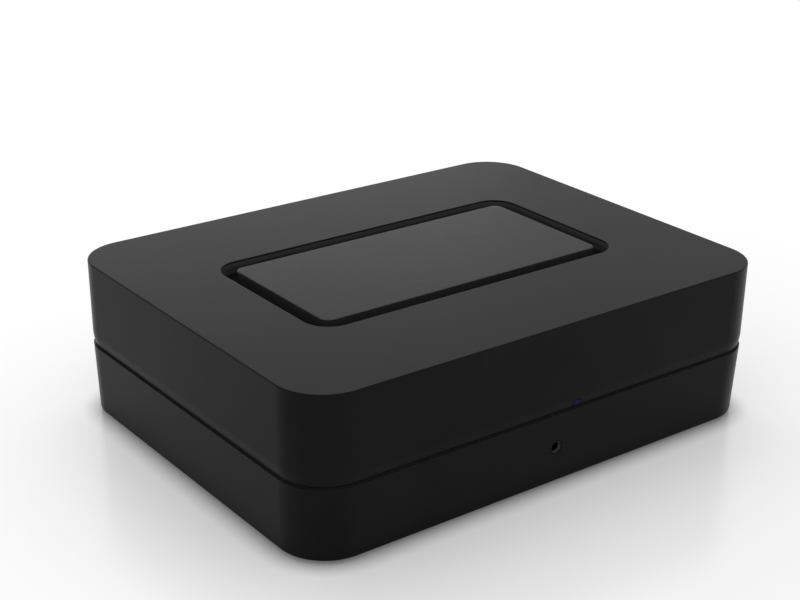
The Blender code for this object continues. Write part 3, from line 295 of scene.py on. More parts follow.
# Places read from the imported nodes
CASE_LOW, CASE_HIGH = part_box("top_shell")
BASE_LOW, BASE_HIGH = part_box("base_shell")
PLATE_LOW, PLATE_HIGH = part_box("touch_plate")
FRAME_LOW, FRAME_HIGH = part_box("rear_frame")
BACK_Y = CASE_HIGH.y
FRONT_Y = CASE_LOW.y
LOWER_RIM = BASE_HIGH.z
UPPER_RIM = LOWER_RIM + WAIST_GAP

# Boxes round the moat's walls and the waist groove, where the faces are painted a lighter grey: painted
# light that lifts the shade in these recesses
MOAT_PAINTED_LIGHT_MARGIN = Vector((2 * MOAT_GAP, 2 * MOAT_GAP, -MOUTH_ROUND))
MOAT_PAINTED_LIGHT_BOX = (PLATE_LOW - MOAT_PAINTED_LIGHT_MARGIN, PLATE_HIGH + MOAT_PAINTED_LIGHT_MARGIN, MOAT_RADIUS)
GROOVE_PAINTED_LIGHT_MARGIN = Vector((-GROOVE_INSET, -GROOVE_INSET, FINE_ROUND))
GROOVE_PAINTED_LIGHT_BOX = (
    Vector((*CASE_LOW.xy, LOWER_RIM)) - GROOVE_PAINTED_LIGHT_MARGIN,
    Vector((*CASE_HIGH.xy, UPPER_RIM)) + GROOVE_PAINTED_LIGHT_MARGIN,
    CORNER_RADIUS - GROOVE_INSET,
)
# Weight on height that keeps the ends of these boxes flat
FLAT_ENDS = 1000.0

# Procedural finishes: spread of the noise that is used, its detail, and what most finishes share
MATH = "ShaderNodeMath"
VECTOR_MATH = "ShaderNodeVectorMath"
FULL_RANGE = (0.0, 1.0)
NOISE_SPREAD = (0.3, 0.7)
BLOTCH_DETAIL = 3.0
GRAIN_DETAIL = 2.0
PLASTIC_IOR = 1.45
BLOTCH = 45.0
GRAIN = (1600.0, 0.00001)
TINT = 1.04


def spot(u, v, w, along):
    """The point at (u, v) across an axis and w along it."""
    point = [0.0, 0.0, 0.0]
    for index, value in zip(AXES[along], (u, v, w)):
        point[index] = value
    return point


def rounded_outline(half_u, half_v, radius, centre=(0.0, 0.0), steps=SMALL_STEPS):
    """Points of a rectangle with round corners, anticlockwise."""
    points = []
    for quarter, (side_u, side_v) in enumerate(((1, -1), (1, 1), (-1, 1), (-1, -1))):
        corner_u = centre[0] + side_u * (half_u - radius)
        corner_v = centre[1] + side_v * (half_v - radius)
        for step in range(steps + 1):
            angle = (quarter - 1 + step / steps) * math.pi / 2
            points.append((corner_u + radius * math.cos(angle), corner_v + radius * math.sin(angle)))
    return points


def circle(radius, centre=(0.0, 0.0), sides=ROUND_SIDES):
    """Points of a circle, anticlockwise."""
    angles = [2 * math.pi * side / sides for side in range(sides)]
    return [(centre[0] + radius * math.cos(a), centre[1] + radius * math.sin(a)) for a in angles]


def arc(before, corner, after, radius):
    """Points of the arc that rounds a corner between its two neighbours."""
    corner = Vector(corner)
    back = (Vector(before) - corner).normalized()
    ahead = (Vector(after) - corner).normalized()
    half = back.angle(ahead) / 2
    centre = corner + (back + ahead).normalized() * radius / math.sin(half)
    start = corner + back * radius / math.tan(half) - centre
    end = corner + ahead * radius / math.tan(half) - centre
    first = math.atan2(start.y, start.x)
    turn = (math.atan2(end.y, end.x) - first + math.pi) % (2 * math.pi) - math.pi
    angles = [first + turn * step / FILLET_STEPS for step in range(FILLET_STEPS + 1)]
    return [(centre.x + radius * math.cos(a), centre.y + radius * math.sin(a)) for a in angles]


def filleted(corners, closed=False):
    """A path through (s, w, radius) corners, each rounded by its own radius."""
    path = []
    count = len(corners)
    for index, (s, w, radius) in enumerate(corners):
        at_end = not closed and index in (0, count - 1)
        if at_end or not radius:
            path.append((s, w))
        else:
            path += arc(corners[index - 1][:2], (s, w), corners[(index + 1) % count][:2], radius)
    return path


def add_skin(bm, rings, along, ends):
    """Quads over rings of equal count. The ends are capped, or the last ring joins the first."""
    rows = [[bm.verts.new(spot(u, v, w, along)) for u, v in outline] for outline, w in rings]
    pairs = list(zip(rows, rows[1:]))
    if ends == "join":
        pairs.append((rows[-1], rows[0]))
    for low, high in pairs:
        for index, start in enumerate(low):
            after = (index + 1) % len(low)
            bm.faces.new((start, low[after], high[after], high[index]))
    if ends == "caps":
        bm.faces.new(rows[0])
        bm.faces.new(rows[-1])


def new_object(name, data):
    """An object in the scene."""
    obj = bpy.data.objects.new(name, data)
    bpy.context.scene.collection.objects.link(obj)
    return obj


def object_from(name, bm):
    """An object in the scene from a bmesh, with its points welded and its faces pointing out."""
    bmesh.ops.remove_doubles(bm, verts=bm.verts, dist=SAME_PLACE)
    bmesh.ops.recalc_face_normals(bm, faces=bm.faces)
    mesh = bpy.data.meshes.new(name)
    bm.to_mesh(mesh)
    bm.free()
    return new_object(name, mesh)


def build(name, *skins):
    """An object made of closed skins, each given as (rings, along, ends)."""
    bm = bmesh.new()
    for rings, along, ends in skins:
        add_skin(bm, rings, along, ends)
    return object_from(name, bm)


def turned_skin(profile, centre, along, ends="caps", sides=ROUND_SIDES):
    """Skin of a turned shape: profile is (radius, place along the axis) pairs."""
    return ([(circle(radius, centre, sides), w) for radius, w in profile], along, ends)


def flare(grow, deep, face, radius=HOLE_ROUND):
    """Path of a cutter from deep inside to just past a face, which leaves the hole's edge rounded."""
    out = math.copysign(1.0, face - deep)
    edge = [(grow, deep, 0.0), (grow, face, radius), (grow + 2 * radius, face, 0.0)]
    path = [(s, w + out * SAME_PLACE) for s, w in filleted(edge)[:-1]]
    return path + [(path[-1][0], face + out * OVERCUT)]


def settle(obj):
    """Replace an object's mesh by its evaluated one, with no modifiers left."""
    graph = bpy.context.evaluated_depsgraph_get()
    mesh = bpy.data.meshes.new_from_object(obj.evaluated_get(graph))
    obj.modifiers.clear()
    obj.data = mesh


def combine(obj, other, operation):
    """Cut another object out of a piece or join it to the piece, and remove the other."""
    boolean = obj.modifiers.new(operation, "BOOLEAN")
    boolean.operation = operation
    boolean.object = other
    settle(obj)
    bpy.data.objects.remove(other)


def cut(obj, *skins):
    """Cut closed skins out of a piece."""
    combine(obj, build("cutter", *skins), "DIFFERENCE")


def join(obj, *skins):
    """Join closed skins to a piece."""
    combine(obj, build("addition", *skins), "UNION")


def dress(obj, node, slot=None):
    """Give a piece its finish and even shading, and let it ride and stand for a node."""
    slot = slot or SLOTS[node]
    obj.data.materials.clear()
    obj.data.materials.append(FINISHES[slot])
    obj.data.shade_smooth()
    obj.data.set_sharp_from_angle(angle=SHARP_ANGLE)
    even = obj.modifiers.new("even_shading", "WEIGHTED_NORMAL")
    even.keep_sharp = True
    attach(obj, frame["nodes"][node]["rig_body"])
    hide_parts(node)


def make_turned(node, path, along="Y", ends="caps", part="", slot=None):
    """Make a turned piece, or a part of one, in a node's place and on the axis of its box."""
    skin = turned_skin(path, axis_of(node, along), along, ends)
    dress(build(node + part + "_detail", skin), node, slot)


def make_sleeve(node, radii, span, rounds=(0.0, 0.0), part="", slot=None):
    """Make a sleeve along Y from its inner and outer radius, with the edges of its rear end rounded."""
    (inner, outer), (start, end) = radii, span
    path = filleted([
        (inner, start, 0.0),
        (inner, end, rounds[0]),
        (outer, end, rounds[1]),
        (outer, start, 0.0),
    ])
    make_turned(node, path, "Y", "join", part, slot)


# Finishes


def mapped(nodes, value, source, target, kind="LINEAR"):
    """Output that carries a value over from one range to another."""
    spread = nodes.new("ShaderNodeMapRange")
    spread.interpolation_type = kind
    for name, limit in zip(("From Min", "From Max", "To Min", "To Max"), (*source, *target)):
        spread.inputs[name].default_value = limit
    spread.id_data.links.new(value, spread.inputs["Value"])
    return spread.outputs["Result"]


def noise(nodes, coordinates, scale, detail):
    """Output of a noise texture."""
    texture = nodes.new("ShaderNodeTexNoise")
    texture.inputs["Scale"].default_value = scale
    texture.inputs["Detail"].default_value = detail
    texture.id_data.links.new(coordinates, texture.inputs["Vector"])
    return texture.outputs["Fac"]


def computed(nodes, kind, operation, *values):
    """Output of a math node on outputs and plain values."""
    node = nodes.new(kind)
    node.operation = operation
    for socket, value in zip(node.inputs, values):
        if isinstance(value, bpy.types.NodeSocket):
            node.id_data.links.new(value, socket)
        else:
            socket.default_value = value
    return next(output for output in node.outputs if output.enabled)


def within(nodes, place, low, high, radius):
    """Value that is 1 where a place is in a box with upright edges rounded, and 0 outside it."""
    core = (high - low) / 2 - Vector((radius, radius, 0.0))
    away = computed(nodes, VECTOR_MATH, "SUBTRACT", place, (low + high) / 2)
    away = computed(nodes, VECTOR_MATH, "ABSOLUTE", away)
    over = computed(nodes, VECTOR_MATH, "SUBTRACT", away, core)
    over = computed(nodes, VECTOR_MATH, "MAXIMUM", over, (0.0, 0.0, 0.0))
    over = computed(nodes, VECTOR_MATH, "MULTIPLY", over, (1.0, 1.0, FLAT_ENDS))
    reach = computed(nodes, VECTOR_MATH, "LENGTH", over)
    return computed(nodes, MATH, "LESS_THAN", reach, radius)


def blended(nodes, factor, first, second):
    """Colour output that goes from a first colour to a second, each an output or a plain colour."""
    mix = nodes.new("ShaderNodeMix")
    mix.data_type = "RGBA"
    mix.id_data.links.new(factor, mix.inputs["Factor"])
    for name, colour in (("A", first), ("B", second)):
        if isinstance(colour, bpy.types.NodeSocket):
            mix.id_data.links.new(colour, mix.inputs[name])
        else:
            mix.inputs[name].default_value = (*colour, 1.0)
    return mix.outputs["Result"]


def new_finish(name, tones, roughness, metallic=0.0, ior=PLASTIC_IOR, blotch=BLOTCH, stretch=(1, 1, 1),
               grain=GRAIN, glow=None, painted_recess_light=()):
    """A finish that drifts between two tones and two roughnesses, with a fine grain on it.

    Each recess is a box and the lighter tone painted into it: painted light that lifts the shade in that
    recess.
    """
    material = bpy.data.materials.new(name)
    material.use_nodes = True
    nodes = material.node_tree.nodes
    links = material.node_tree.links
    shader = nodes["Principled BSDF"]
    shader.inputs["Metallic"].default_value = metallic
    shader.inputs["IOR"].default_value = ior
    if glow:
        shader.inputs["Emission Color"].default_value = (*glow[0], 1.0)
        shader.inputs["Emission Strength"].default_value = glow[1]
    place = nodes.new("ShaderNodeTexCoord")
    mapping = nodes.new("ShaderNodeMapping")
    mapping.inputs["Scale"].default_value = stretch
    links.new(place.outputs["Object"], mapping.inputs["Vector"])
    drift = noise(nodes, mapping.outputs["Vector"], blotch, BLOTCH_DETAIL)
    colour = blended(nodes, mapped(nodes, drift, NOISE_SPREAD, FULL_RANGE), *tones)
    # Painted light: each recess box gets a lighter tone that lifts the shade there
    for box, tone in painted_recess_light:
        colour = blended(nodes, within(nodes, place.outputs["Object"], *box), colour, tone)
    links.new(colour, shader.inputs["Base Color"])
    links.new(mapped(nodes, drift, NOISE_SPREAD, roughness), shader.inputs["Roughness"])
    bump = nodes.new("ShaderNodeBump")
    bump.inputs["Strength"].default_value = 1.0
    bump.inputs["Distance"].default_value = grain[1]
    links.new(noise(nodes, mapping.outputs["Vector"], grain[0], GRAIN_DETAIL), bump.inputs["Height"])
    links.new(bump.outputs["Normal"], shader.inputs["Normal"])
    return material


def grey(level):
    """A near-neutral dark tone, a touch blue."""
    return (level, level, level * TINT)


FINISHES = {
    # The case and the plate get lighter greys painted into the moat and the groove: painted light that
    # lifts the shade there
    "case": new_finish("matt_black", (grey(0.0050), grey(0.0065)), (0.325, 0.345), ior=1.138,
                       painted_recess_light=((MOAT_PAINTED_LIGHT_BOX, grey(0.045)), (GROOVE_PAINTED_LIGHT_BOX, grey(0.026)))),
    "plate": new_finish("satin_black", (grey(0.0055), grey(0.0070)), (0.27, 0.29), ior=1.167,
                        painted_recess_light=((MOAT_PAINTED_LIGHT_BOX, grey(0.022)),)),
    "trim": new_finish("moulded_black", (grey(0.018), grey(0.026)), (0.45, 0.6), ior=1.3),
    "rubber": new_finish("rubber", (grey(0.014), grey(0.022)), (0.8, 0.92), grain=(2600.0, 0.00002)),
    "light": new_finish("dim_blue", ((0.005, 0.005, 0.012), (0.007, 0.007, 0.018)), (0.4, 0.5), ior=1.13,
                        glow=((0.02, 0.03, 1.0), 0.018)),
    "nickel": new_finish("nickel", ((0.56, 0.55, 0.52), (0.66, 0.65, 0.62)), (0.22, 0.34), 1.0,
                         stretch=(1, 8, 1), grain=(900.0, 0.000004)),
    "gold": new_finish("gold", ((0.78, 0.55, 0.20), (0.87, 0.66, 0.30)), (0.18, 0.28), 1.0,
                       grain=(900.0, 0.000003)),
    "steel": new_finish("black_oxide", (grey(0.022), grey(0.034)), (0.34, 0.46), 1.0,
                        grain=(2000.0, 0.000004)),
    "red": new_finish("red_plastic", ((0.38, 0.012, 0.012), (0.50, 0.022, 0.02)), (0.3, 0.4)),
    "white": new_finish("white_plastic", ((0.70, 0.70, 0.68), (0.80, 0.80, 0.78)), (0.35, 0.45)),
    "board": new_finish("solder_mask", ((0.008, 0.055, 0.028), (0.02, 0.12, 0.06)), (0.35, 0.5),
                        blotch=260.0, stretch=(1, 4, 1)),
    "aluminium": new_finish("extruded_aluminium", ((0.6, 0.6, 0.62), (0.75, 0.75, 0.77)), (0.3, 0.45),
                            1.0, stretch=(1, 0.05, 1), grain=(2500.0, 0.00001)),
    "tape": new_finish("wound_tape", ((0.50, 0.36, 0.05), (0.66, 0.50, 0.10)), (0.4, 0.55),
                       blotch=300.0, stretch=(0.1, 1, 0.1)),
    "ribbon": new_finish("flat_cable", ((0.34, 0.34, 0.36), (0.55, 0.55, 0.57)), (0.45, 0.6),
                         blotch=600.0, stretch=(1, 0.02, 0.02)),
}


# Outlines shared by several pieces


def named(start):
    """Names of the nodes that start like this, in order."""
    return [node for node in sorted(SLOTS) if node.startswith(start)]


def boxes(start):
    """Nodes that start like this, each with the corners of its box."""
    return [(node, *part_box(node)) for node in named(start)]


def middle(low, high, along="Y"):
    """Middle of a box across an axis."""
    return tuple((low[index] + high[index]) / 2 for index in AXES[along][:2])


def axis_of(node, along="Y"):
    """Middle of a node's box across an axis."""
    return middle(*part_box(node), along)


def half_width(node):
    """Half of a node's width, which is the radius of a round one."""
    low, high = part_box(node)
    return (high.x - low.x) / 2


def box_outline(low, high, along, radius, inset, steps):
    """Rounded outline of a box across an axis, drawn in by inset with its corners."""
    half_u, half_v = ((high[index] - low[index]) / 2 - inset for index in AXES[along][:2])
    radius = max(radius - inset, SAME_PLACE)
    return rounded_outline(half_u, half_v, radius, middle(low, high, along), steps)


def case_outline(inset):
    """Outline of the case, drawn in by inset."""
    return box_outline(CASE_LOW, CASE_HIGH, "Z", CORNER_RADIUS, inset, CASE_STEPS)


def base_draft(z):
    """How far the lower shell's sides and front are drawn in at a height."""
    return BASE_DRAFT * (BASE_HIGH.z - z) / (BASE_HIGH.z - BASE_LOW.z)


def base_outline(inset, z):
    """Outline of the lower shell at a height, with its draft and drawn in by inset."""
    draft = base_draft(z)
    low = (CASE_LOW.x + draft, CASE_LOW.y + draft)
    high = (CASE_HIGH.x - draft, CASE_HIGH.y)
    return box_outline(low, high, "Z", CORNER_RADIUS, inset, CASE_STEPS)


def island_outline(grow):
    """Outline of the touch plate, grown by a width."""
    return box_outline(PLATE_LOW, PLATE_HIGH, "Z", PLATE_RADIUS, -grow, CASE_STEPS)


def moat_outline(grow):
    """Outline of the moat's outer edge, grown by a width."""
    radius = MOAT_RADIUS - MOAT_GAP
    return box_outline(PLATE_LOW, PLATE_HIGH, "Z", radius, -MOAT_GAP - grow, CASE_STEPS)


def row(centre, count, pitch):
    """Evenly spaced places on both sides of a middle."""
    return [centre + (index - (count - 1) / 2) * pitch for index in range(count)]


def rear_rim(start, end, radius):
    """Path along Y for a box's outline, from a start to a rear end with a rounded edge."""
    return filleted([(0.0, start, 0.0), (0.0, end, radius), (2 * radius, end, 0.0)])[:-1]


def rear_outline(low, high, radius, inset):
    """Rounded outline of a box seen from behind, drawn in by inset."""
    return box_outline(low, high, "Y", radius, inset, SMALL_STEPS)


def rear_skin(low, high, radius, path):
    """Skin along Y of a box's rounded outline, drawn in along a path."""
    return ([(rear_outline(low, high, radius, inset), y) for inset, y in path], "Y", "caps")


def rear_hole(low, high, radius, deep, face):
    """Cutter along Y of a box's rounded outline with a gap round it, and a rounded edge at the face."""
    path = [(-grow, y) for grow, y in flare(CLEARANCE, deep, face)]
    return rear_skin(low, high, radius, path)


def round_hole(radius, node, deep, face):
    """Cutter along Y of a round hole on a node's axis, with a gap round it and a rounded edge."""
    return turned_skin(flare(radius + CLEARANCE, deep, face), axis_of(node), "Y")


def bay_skin():
    """Cutter of the rear bay that the frame fills."""
    return rear_hole(FRAME_LOW, FRAME_HIGH, FRAME_RADIUS, FRAME_LOW.y - OVERCUT, BACK_Y)


def light_slot_skin():
    """Cutter of the notch for the light pipe in the upper rim and the band."""
    low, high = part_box("status_light")
    half_x = half_width("status_light") + CLEARANCE
    low_z = LOWER_RIM + CLEARANCE
    half_z = (high.z + CLEARANCE - low_z) / 2
    outline = rounded_outline(half_x, half_z, HOLE_ROUND, ((low.x + high.x) / 2, low_z + half_z))
    return ([(outline, FRONT_Y - OVERCUT), (outline, FRONT_Y + 2 * WALL)], "Y", "caps")


def undercut_y(z):
    """Y of the undercut on the front at a height."""
    return FRONT_Y + UNDERCUT_DEPTH * (1 - (z - UPPER_RIM) / UNDERCUT_HEIGHT)


def screw_skins(profile):
    """Skins of a turned shape on the axes of the four case screws."""
    return [turned_skin(profile, axis_of(node, "Z"), "Z") for node in named("case_screw")]


def make_top_shell():
    """Upper shell: undercut along its rim, open for the touch plate, with four screw bosses."""
    low, high = CASE_LOW, CASE_HIGH
    ceiling = high.z - TOP_THICKNESS
    side = filleted([
        (WALL, ceiling, 0.0),
        (WALL, UPPER_RIM, RIM_ROUND),
        (UNDERCUT_DEPTH, UPPER_RIM, RIM_ROUND),
        (0.0, UPPER_RIM + UNDERCUT_HEIGHT, UNDERCUT_ROUND),
        (0.0, high.z, TOP_ROUND),
        (WALL, high.z, 0.0),
    ])[:-1]
    mouth = filleted([(WALL, high.z, 0.0), (0.0, high.z, MOUTH_ROUND), (0.0, ceiling, 0.0)])[1:]
    rings = [(case_outline(inset), z) for inset, z in side]
    rings += [(moat_outline(grow), z) for grow, z in mouth]
    shell = build("top_shell_detail", (rings, "Z", "join"))
    boss = [(BOSS_RADIUS, low.z), (BOSS_RADIUS, ceiling + SINK)]
    pilot = [(PILOT_RADIUS, low.z - OVERCUT), (PILOT_RADIUS, PILOT_TOP)]
    join(shell, *screw_skins(boss))
    cut(shell, bay_skin(), light_slot_skin(), *screw_skins(pilot))
    dress(shell, "top_shell")


def vent_skins(floor_low, floor_top):
    """Cutters of the slots in the base."""
    half_x, half_y = (size / 2 for size in VENT_SIZE)
    path = flare(0.0, floor_top + OVERCUT, floor_low)
    skins = []
    for y in VENT_ROWS_Y:
        for x in row(0.0, VENT_COUNT, VENT_PITCH):
            rings = [(rounded_outline(half_x + s, half_y + s, half_x + s, (x, y)), z) for s, z in path]
            skins.append((rings, "Z", "caps"))
    return skins


def base_posts(floor_top):
    """Pegs for the boards and posts for the case screws, on the floor of the base."""
    low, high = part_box("main_board")
    peg = [
        (STANDOFF_RADIUS, floor_top - SINK),
        (STANDOFF_RADIUS, low.z - CLEARANCE),
        (PEG_RADIUS, low.z - CLEARANCE),
        (PEG_RADIUS, high.z + SINK),
    ]
    post = [(BOSS_RADIUS, floor_top - SINK), (BOSS_RADIUS, CASE_LOW.z - CLEARANCE)]
    pegs = [turned_skin(peg, place, "Z", sides=PEG_SIDES) for place in PEG_PLACES]
    return pegs + screw_skins(post)


def base_holes():
    """Cutters of the headphone hole and of the seats of feet and screws."""
    jack = axis_of("front_jack_bush")
    jack_face = FRONT_Y + base_draft(jack[1])
    jack_hole = flare(half_width("front_jack_bush") + CLEARANCE, FRONT_Y + 2 * WALL, jack_face)
    foot_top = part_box("foot_front_left")[1].z
    seat = flare(half_width("foot_front_left") + CLEARANCE, foot_top + CLEARANCE, BASE_LOW.z)
    head = half_width("case_screw_front_left") + 2 * CLEARANCE
    head_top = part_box("case_screw_front_left")[0].z + SCREWS["case_screw"][1] + CLEARANCE
    sink = [
        (PILOT_RADIUS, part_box("main_board")[0].z + OVERCUT),
        (PILOT_RADIUS, head_top),
        *flare(head, head_top, BASE_LOW.z),
    ]
    return [
        turned_skin(jack_hole, jack, "Y"),
        *[turned_skin(seat, axis_of(node, "Z"), "Z") for node in named("foot_")],
        *screw_skins(sink),
    ]


def make_base_shell():
    """Lower shell: a tray with screw posts, board pegs, vents, foot seats and the headphone hole."""
    low, high = BASE_LOW, BASE_HIGH
    floor_top = low.z + FLOOR_THICKNESS
    inside = filleted([
        (CAP_INSET, floor_top, 0.0),
        (WALL, floor_top, INNER_ROUND),
        (WALL, high.z, RIM_ROUND),
        (0.0, high.z, 0.0),
    ])[:-1]
    outside = filleted([
        (WALL, high.z, 0.0),
        (0.0, high.z, RIM_ROUND),
        (0.0, low.z, BASE_ROUND),
        (CAP_INSET, low.z, 0.0),
    ])[1:]
    rings = [(case_outline(inset), z) for inset, z in inside]
    rings += [(base_outline(inset, z), z) for inset, z in outside]
    shell = build("base_shell_detail", (rings, "Z", "caps"))
    join(shell, *base_posts(floor_top))
    cut(shell, bay_skin(), *base_holes(), *vent_skins(low.z, floor_top))
    dress(shell, "base_shell")


def make_waist_band():
    """Ring inside both rims that closes the groove."""
    low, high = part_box("waist_band")
    outside = CASE_HIGH.x - high.x
    inside = outside + BAND_THICKNESS
    path = filleted([
        (outside, low.z, BAND_ROUND),
        (outside, high.z, BAND_ROUND),
        (inside, high.z, BAND_ROUND),
        (inside, low.z, BAND_ROUND),
    ], closed=True)
    band = build("waist_band_detail", ([(case_outline(inset), z) for inset, z in path], "Z", "join"))
    cut(band, bay_skin(), light_slot_skin())
    dress(band, "waist_band")


def make_touch_plate():
    """Island in the moat: a cap with a hollow under it."""
    low, high = PLATE_LOW, PLATE_HIGH
    hollow = high.z - PLATE_WALL
    path = filleted([
        (-PLATE_CAP_INSET, hollow, 0.0),
        (-PLATE_WALL, hollow, PLATE_ROUND),
        (-PLATE_WALL, low.z, RIM_ROUND),
        (0.0, low.z, RIM_ROUND),
        (0.0, high.z, PLATE_ROUND),
        (-PLATE_WALL, high.z, 0.0),
    ])
    rings = [(island_outline(grow), z) for grow, z in path]
    dress(build("touch_plate_detail", (rings, "Z", "caps")), "touch_plate")


def make_touch_tray():
    """Dish under the top that makes the moat's floor."""
    low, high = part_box("touch_tray")
    well = PLATE_LOW.z - CLEARANCE
    tub = TRAY_GAP + TRAY_SHEET
    rim = TRAY_GAP + TRAY_FLANGE
    path = filleted([
        (-MOAT_GAP, well, 0.0),
        (TRAY_GAP, well, PLATE_ROUND),
        (TRAY_GAP, high.z, RIM_ROUND),
        (rim, high.z, RIM_ROUND),
        (rim, high.z - TRAY_SHEET, RIM_ROUND),
        (tub, high.z - TRAY_SHEET, RIM_ROUND),
        (tub, low.z, PLATE_ROUND),
        (-MOAT_GAP, low.z, 0.0),
    ])
    rings = [(moat_outline(grow), z) for grow, z in path]
    dress(build("touch_tray_detail", (rings, "Z", "caps")), "touch_tray", "case")


def make_status_light():
    """Light pipe: an arm with a slanted end in the undercut, and a stem down to the diode."""
    low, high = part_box("status_light")
    arm_low = UPPER_RIM + LIGHT_LIFT
    stem_y = high.y - LIGHT_STEM
    side = filleted([
        (undercut_y(arm_low), arm_low, RIM_ROUND),
        (stem_y, arm_low, RIM_ROUND),
        (stem_y, low.z, RIM_ROUND),
        (high.y, low.z, RIM_ROUND),
        (high.y, high.z, RIM_ROUND),
        (undercut_y(high.z), high.z, RIM_ROUND),
    ], closed=True)
    dress(build("status_light_detail", ([(side, low.x), (side, high.x)], "X", "caps")), "status_light")


def make_front_jack_bush():
    """Metal ring round the headphone hole, flared to guide the plug."""
    low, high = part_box("front_jack_bush")
    outside = half_width("front_jack_bush")
    path = filleted([
        (outside, high.y, RIM_ROUND),
        (outside, low.y, FINE_ROUND),
        (outside - BUSH_LIP, low.y, FINE_ROUND),
        (BUSH_BORE, low.y + BUSH_FLARE, FINE_ROUND),
        (BUSH_BORE, high.y, RIM_ROUND),
    ], closed=True)
    make_turned("front_jack_bush", path, ends="join")


def make_feet():
    """Rubber feet with a shallow ring in their soles."""
    for node, low, high in boxes("foot_"):
        radius = half_width(node)
        top, sole = (share * radius for share in FOOT_CAPS)
        edge, floor_edge, floor_middle, ring_middle = (share * radius for share in FOOT_RING)
        path = filleted([
            (top, high.z, 0.0),
            (radius, high.z, RIM_ROUND),
            (radius, low.z, FOOT_ROUND),
            (edge, low.z, RIM_ROUND),
            (floor_edge, low.z + FOOT_RING_DEPTH, RIM_ROUND),
            (floor_middle, low.z + FOOT_RING_DEPTH, RIM_ROUND),
            (ring_middle, low.z, RIM_ROUND),
            (sole, low.z, 0.0),
        ])
        make_turned(node, path, "Z")


def make_screws(kind, along):
    """Screws with a rounded head and a hexagon socket. Case screws face down, panel screws back."""
    shank, height, socket, depth = SCREWS[kind]
    index = AXES[along][2]
    for node, low, high in boxes(kind):
        centre = axis_of(node, along)
        face, tip = (low[index], high[index]) if along == "Z" else (high[index], low[index])
        inwards = math.copysign(1.0, tip - face)
        seat = face + inwards * height
        radius = half_width(node)
        path = filleted([
            (SCREW_TIP * shank, tip, 0.0),
            (shank, tip - inwards * shank, 0.0),
            (shank, seat, 0.0),
            (radius, seat, RIM_ROUND),
            (radius, face, EDGE_ROUND),
            (SCREW_FACE * radius, face, 0.0),
        ])
        screw = build(node + "_detail", turned_skin(path, centre, along))
        hexagon = flare(socket, face + inwards * depth, face)
        cut(screw, turned_skin(hexagon, centre, along, sides=HEX_SIDES))
        dress(screw, node)


def make_rear_frame():
    """Frame that lines the rear bay, with a lip that carries the panel."""
    low, high = FRAME_LOW, FRAME_HIGH
    lip_y = low.y + LIP_DEPTH
    path = filleted([
        (0.0, low.y, 0.0),
        (0.0, high.y, FRAME_ROUND),
        (FRAME_WALL, high.y, FRAME_ROUND),
        (FRAME_WALL, lip_y, 0.0),
    ])
    half_x = (high.x - low.x) / 2 - LIP_SIDE
    half_z = (high.z - low.z) / 2 - LIP_EDGE
    window = rounded_outline(half_x, half_z, RIM_ROUND, middle(low, high))
    rings = [(rear_outline(low, high, FRAME_RADIUS, inset), y) for inset, y in path]
    piece = build("rear_frame_detail", (rings + [(window, lip_y), (window, low.y)], "Y", "join"))
    shank = SCREWS["panel_screw"][0]
    cut(piece, *[round_hole(shank, node, low.y - OVERCUT, lip_y) for node in named("panel_screw")])
    dress(piece, "rear_frame")


def make_rear_panel():
    """Plate that carries the sockets, with softened edges round its holes."""
    low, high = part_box("rear_panel")
    rim = rear_rim(low.y, high.y, HOLE_ROUND)
    panel = build("rear_panel_detail", rear_skin(low, high, PANEL_RADIUS, rim))
    deep = low.y - OVERCUT
    inlet_x, inlet_z = axis_of("mains_inlet")
    inlet = (
        Vector((inlet_x - MAINS_BODY[0], low.y, inlet_z - MAINS_BODY[1])),
        Vector((inlet_x + MAINS_BODY[0], high.y, inlet_z + MAINS_BODY[1])),
    )
    windows = [rear_hole(*inlet, MAINS_BODY_RADIUS, deep, high.y)]
    for node in ("ethernet_jack", "usb_port", "optical_port"):
        windows.append(rear_hole(*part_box(node), WINDOW_RADIUS, deep, high.y))
    holes = (
        (RCA_BARREL_RADIUS, "rca_jack"),
        (RESET_RADIUS, "reset_button"),
        (SPIGOT_RADIUS, "post_stud"),
        (SCREWS["panel_screw"][0], "panel_screw"),
    )
    for radius, start in holes:
        windows += [round_hole(radius, node, deep, high.y) for node in named(start)]
    cut(panel, *windows)
    dress(panel, "rear_panel")


def mains_mouth(grow, centre):
    """Outline of the mains mouth, two lobes with a waist between them, grown by a width."""
    radius = MAINS_LOBE_RADIUS + grow
    points = []
    for side in (1, -1):
        for step in range(2 * SMALL_STEPS):
            angle = (step / (2 * SMALL_STEPS) - 0.5) * math.pi
            u = side * (MAINS_LOBE_OFFSET + radius * math.cos(angle))
            points.append((centre[0] + u, centre[1] + side * radius * math.sin(angle)))
        for step in range(2 * SMALL_STEPS):
            u = 1 - step / SMALL_STEPS
            dip = MAINS_WAIST * (0.5 + 0.5 * math.cos(math.pi * u))
            points.append((centre[0] + side * MAINS_LOBE_OFFSET * u, centre[1] + side * (radius - dip)))
    return points


def make_mains_inlet():
    """Figure-eight mains inlet with a flange, and bores for its pins."""
    low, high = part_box("mains_inlet")
    centre = middle(low, high)
    seat = high.y - MAINS_FLANGE_DEPTH
    body = rounded_outline(*MAINS_BODY, MAINS_BODY_RADIUS, centre)
    rim = rear_rim(seat, high.y, EDGE_ROUND)
    rings = [(body, low.y), (body, seat)]
    rings += [(rear_outline(low, high, MAINS_FLANGE_RADIUS, inset), y) for inset, y in rim]
    inlet = build("mains_inlet_detail", (rings, "Y", "caps"))
    floor = high.y - MAINS_MOUTH_DEPTH
    mouth = [(mains_mouth(grow, centre), y) for grow, y in flare(0.0, floor, high.y)]
    cut(inlet, (mouth, "Y", "caps"))
    bore = [(MAINS_PIN_RADIUS + CLEARANCE, y) for y in (low.y - OVERCUT, floor + OVERCUT)]
    cut(inlet, *[turned_skin(bore, axis_of(node), "Y") for node in named("mains_pin")])
    dress(inlet, "mains_inlet")


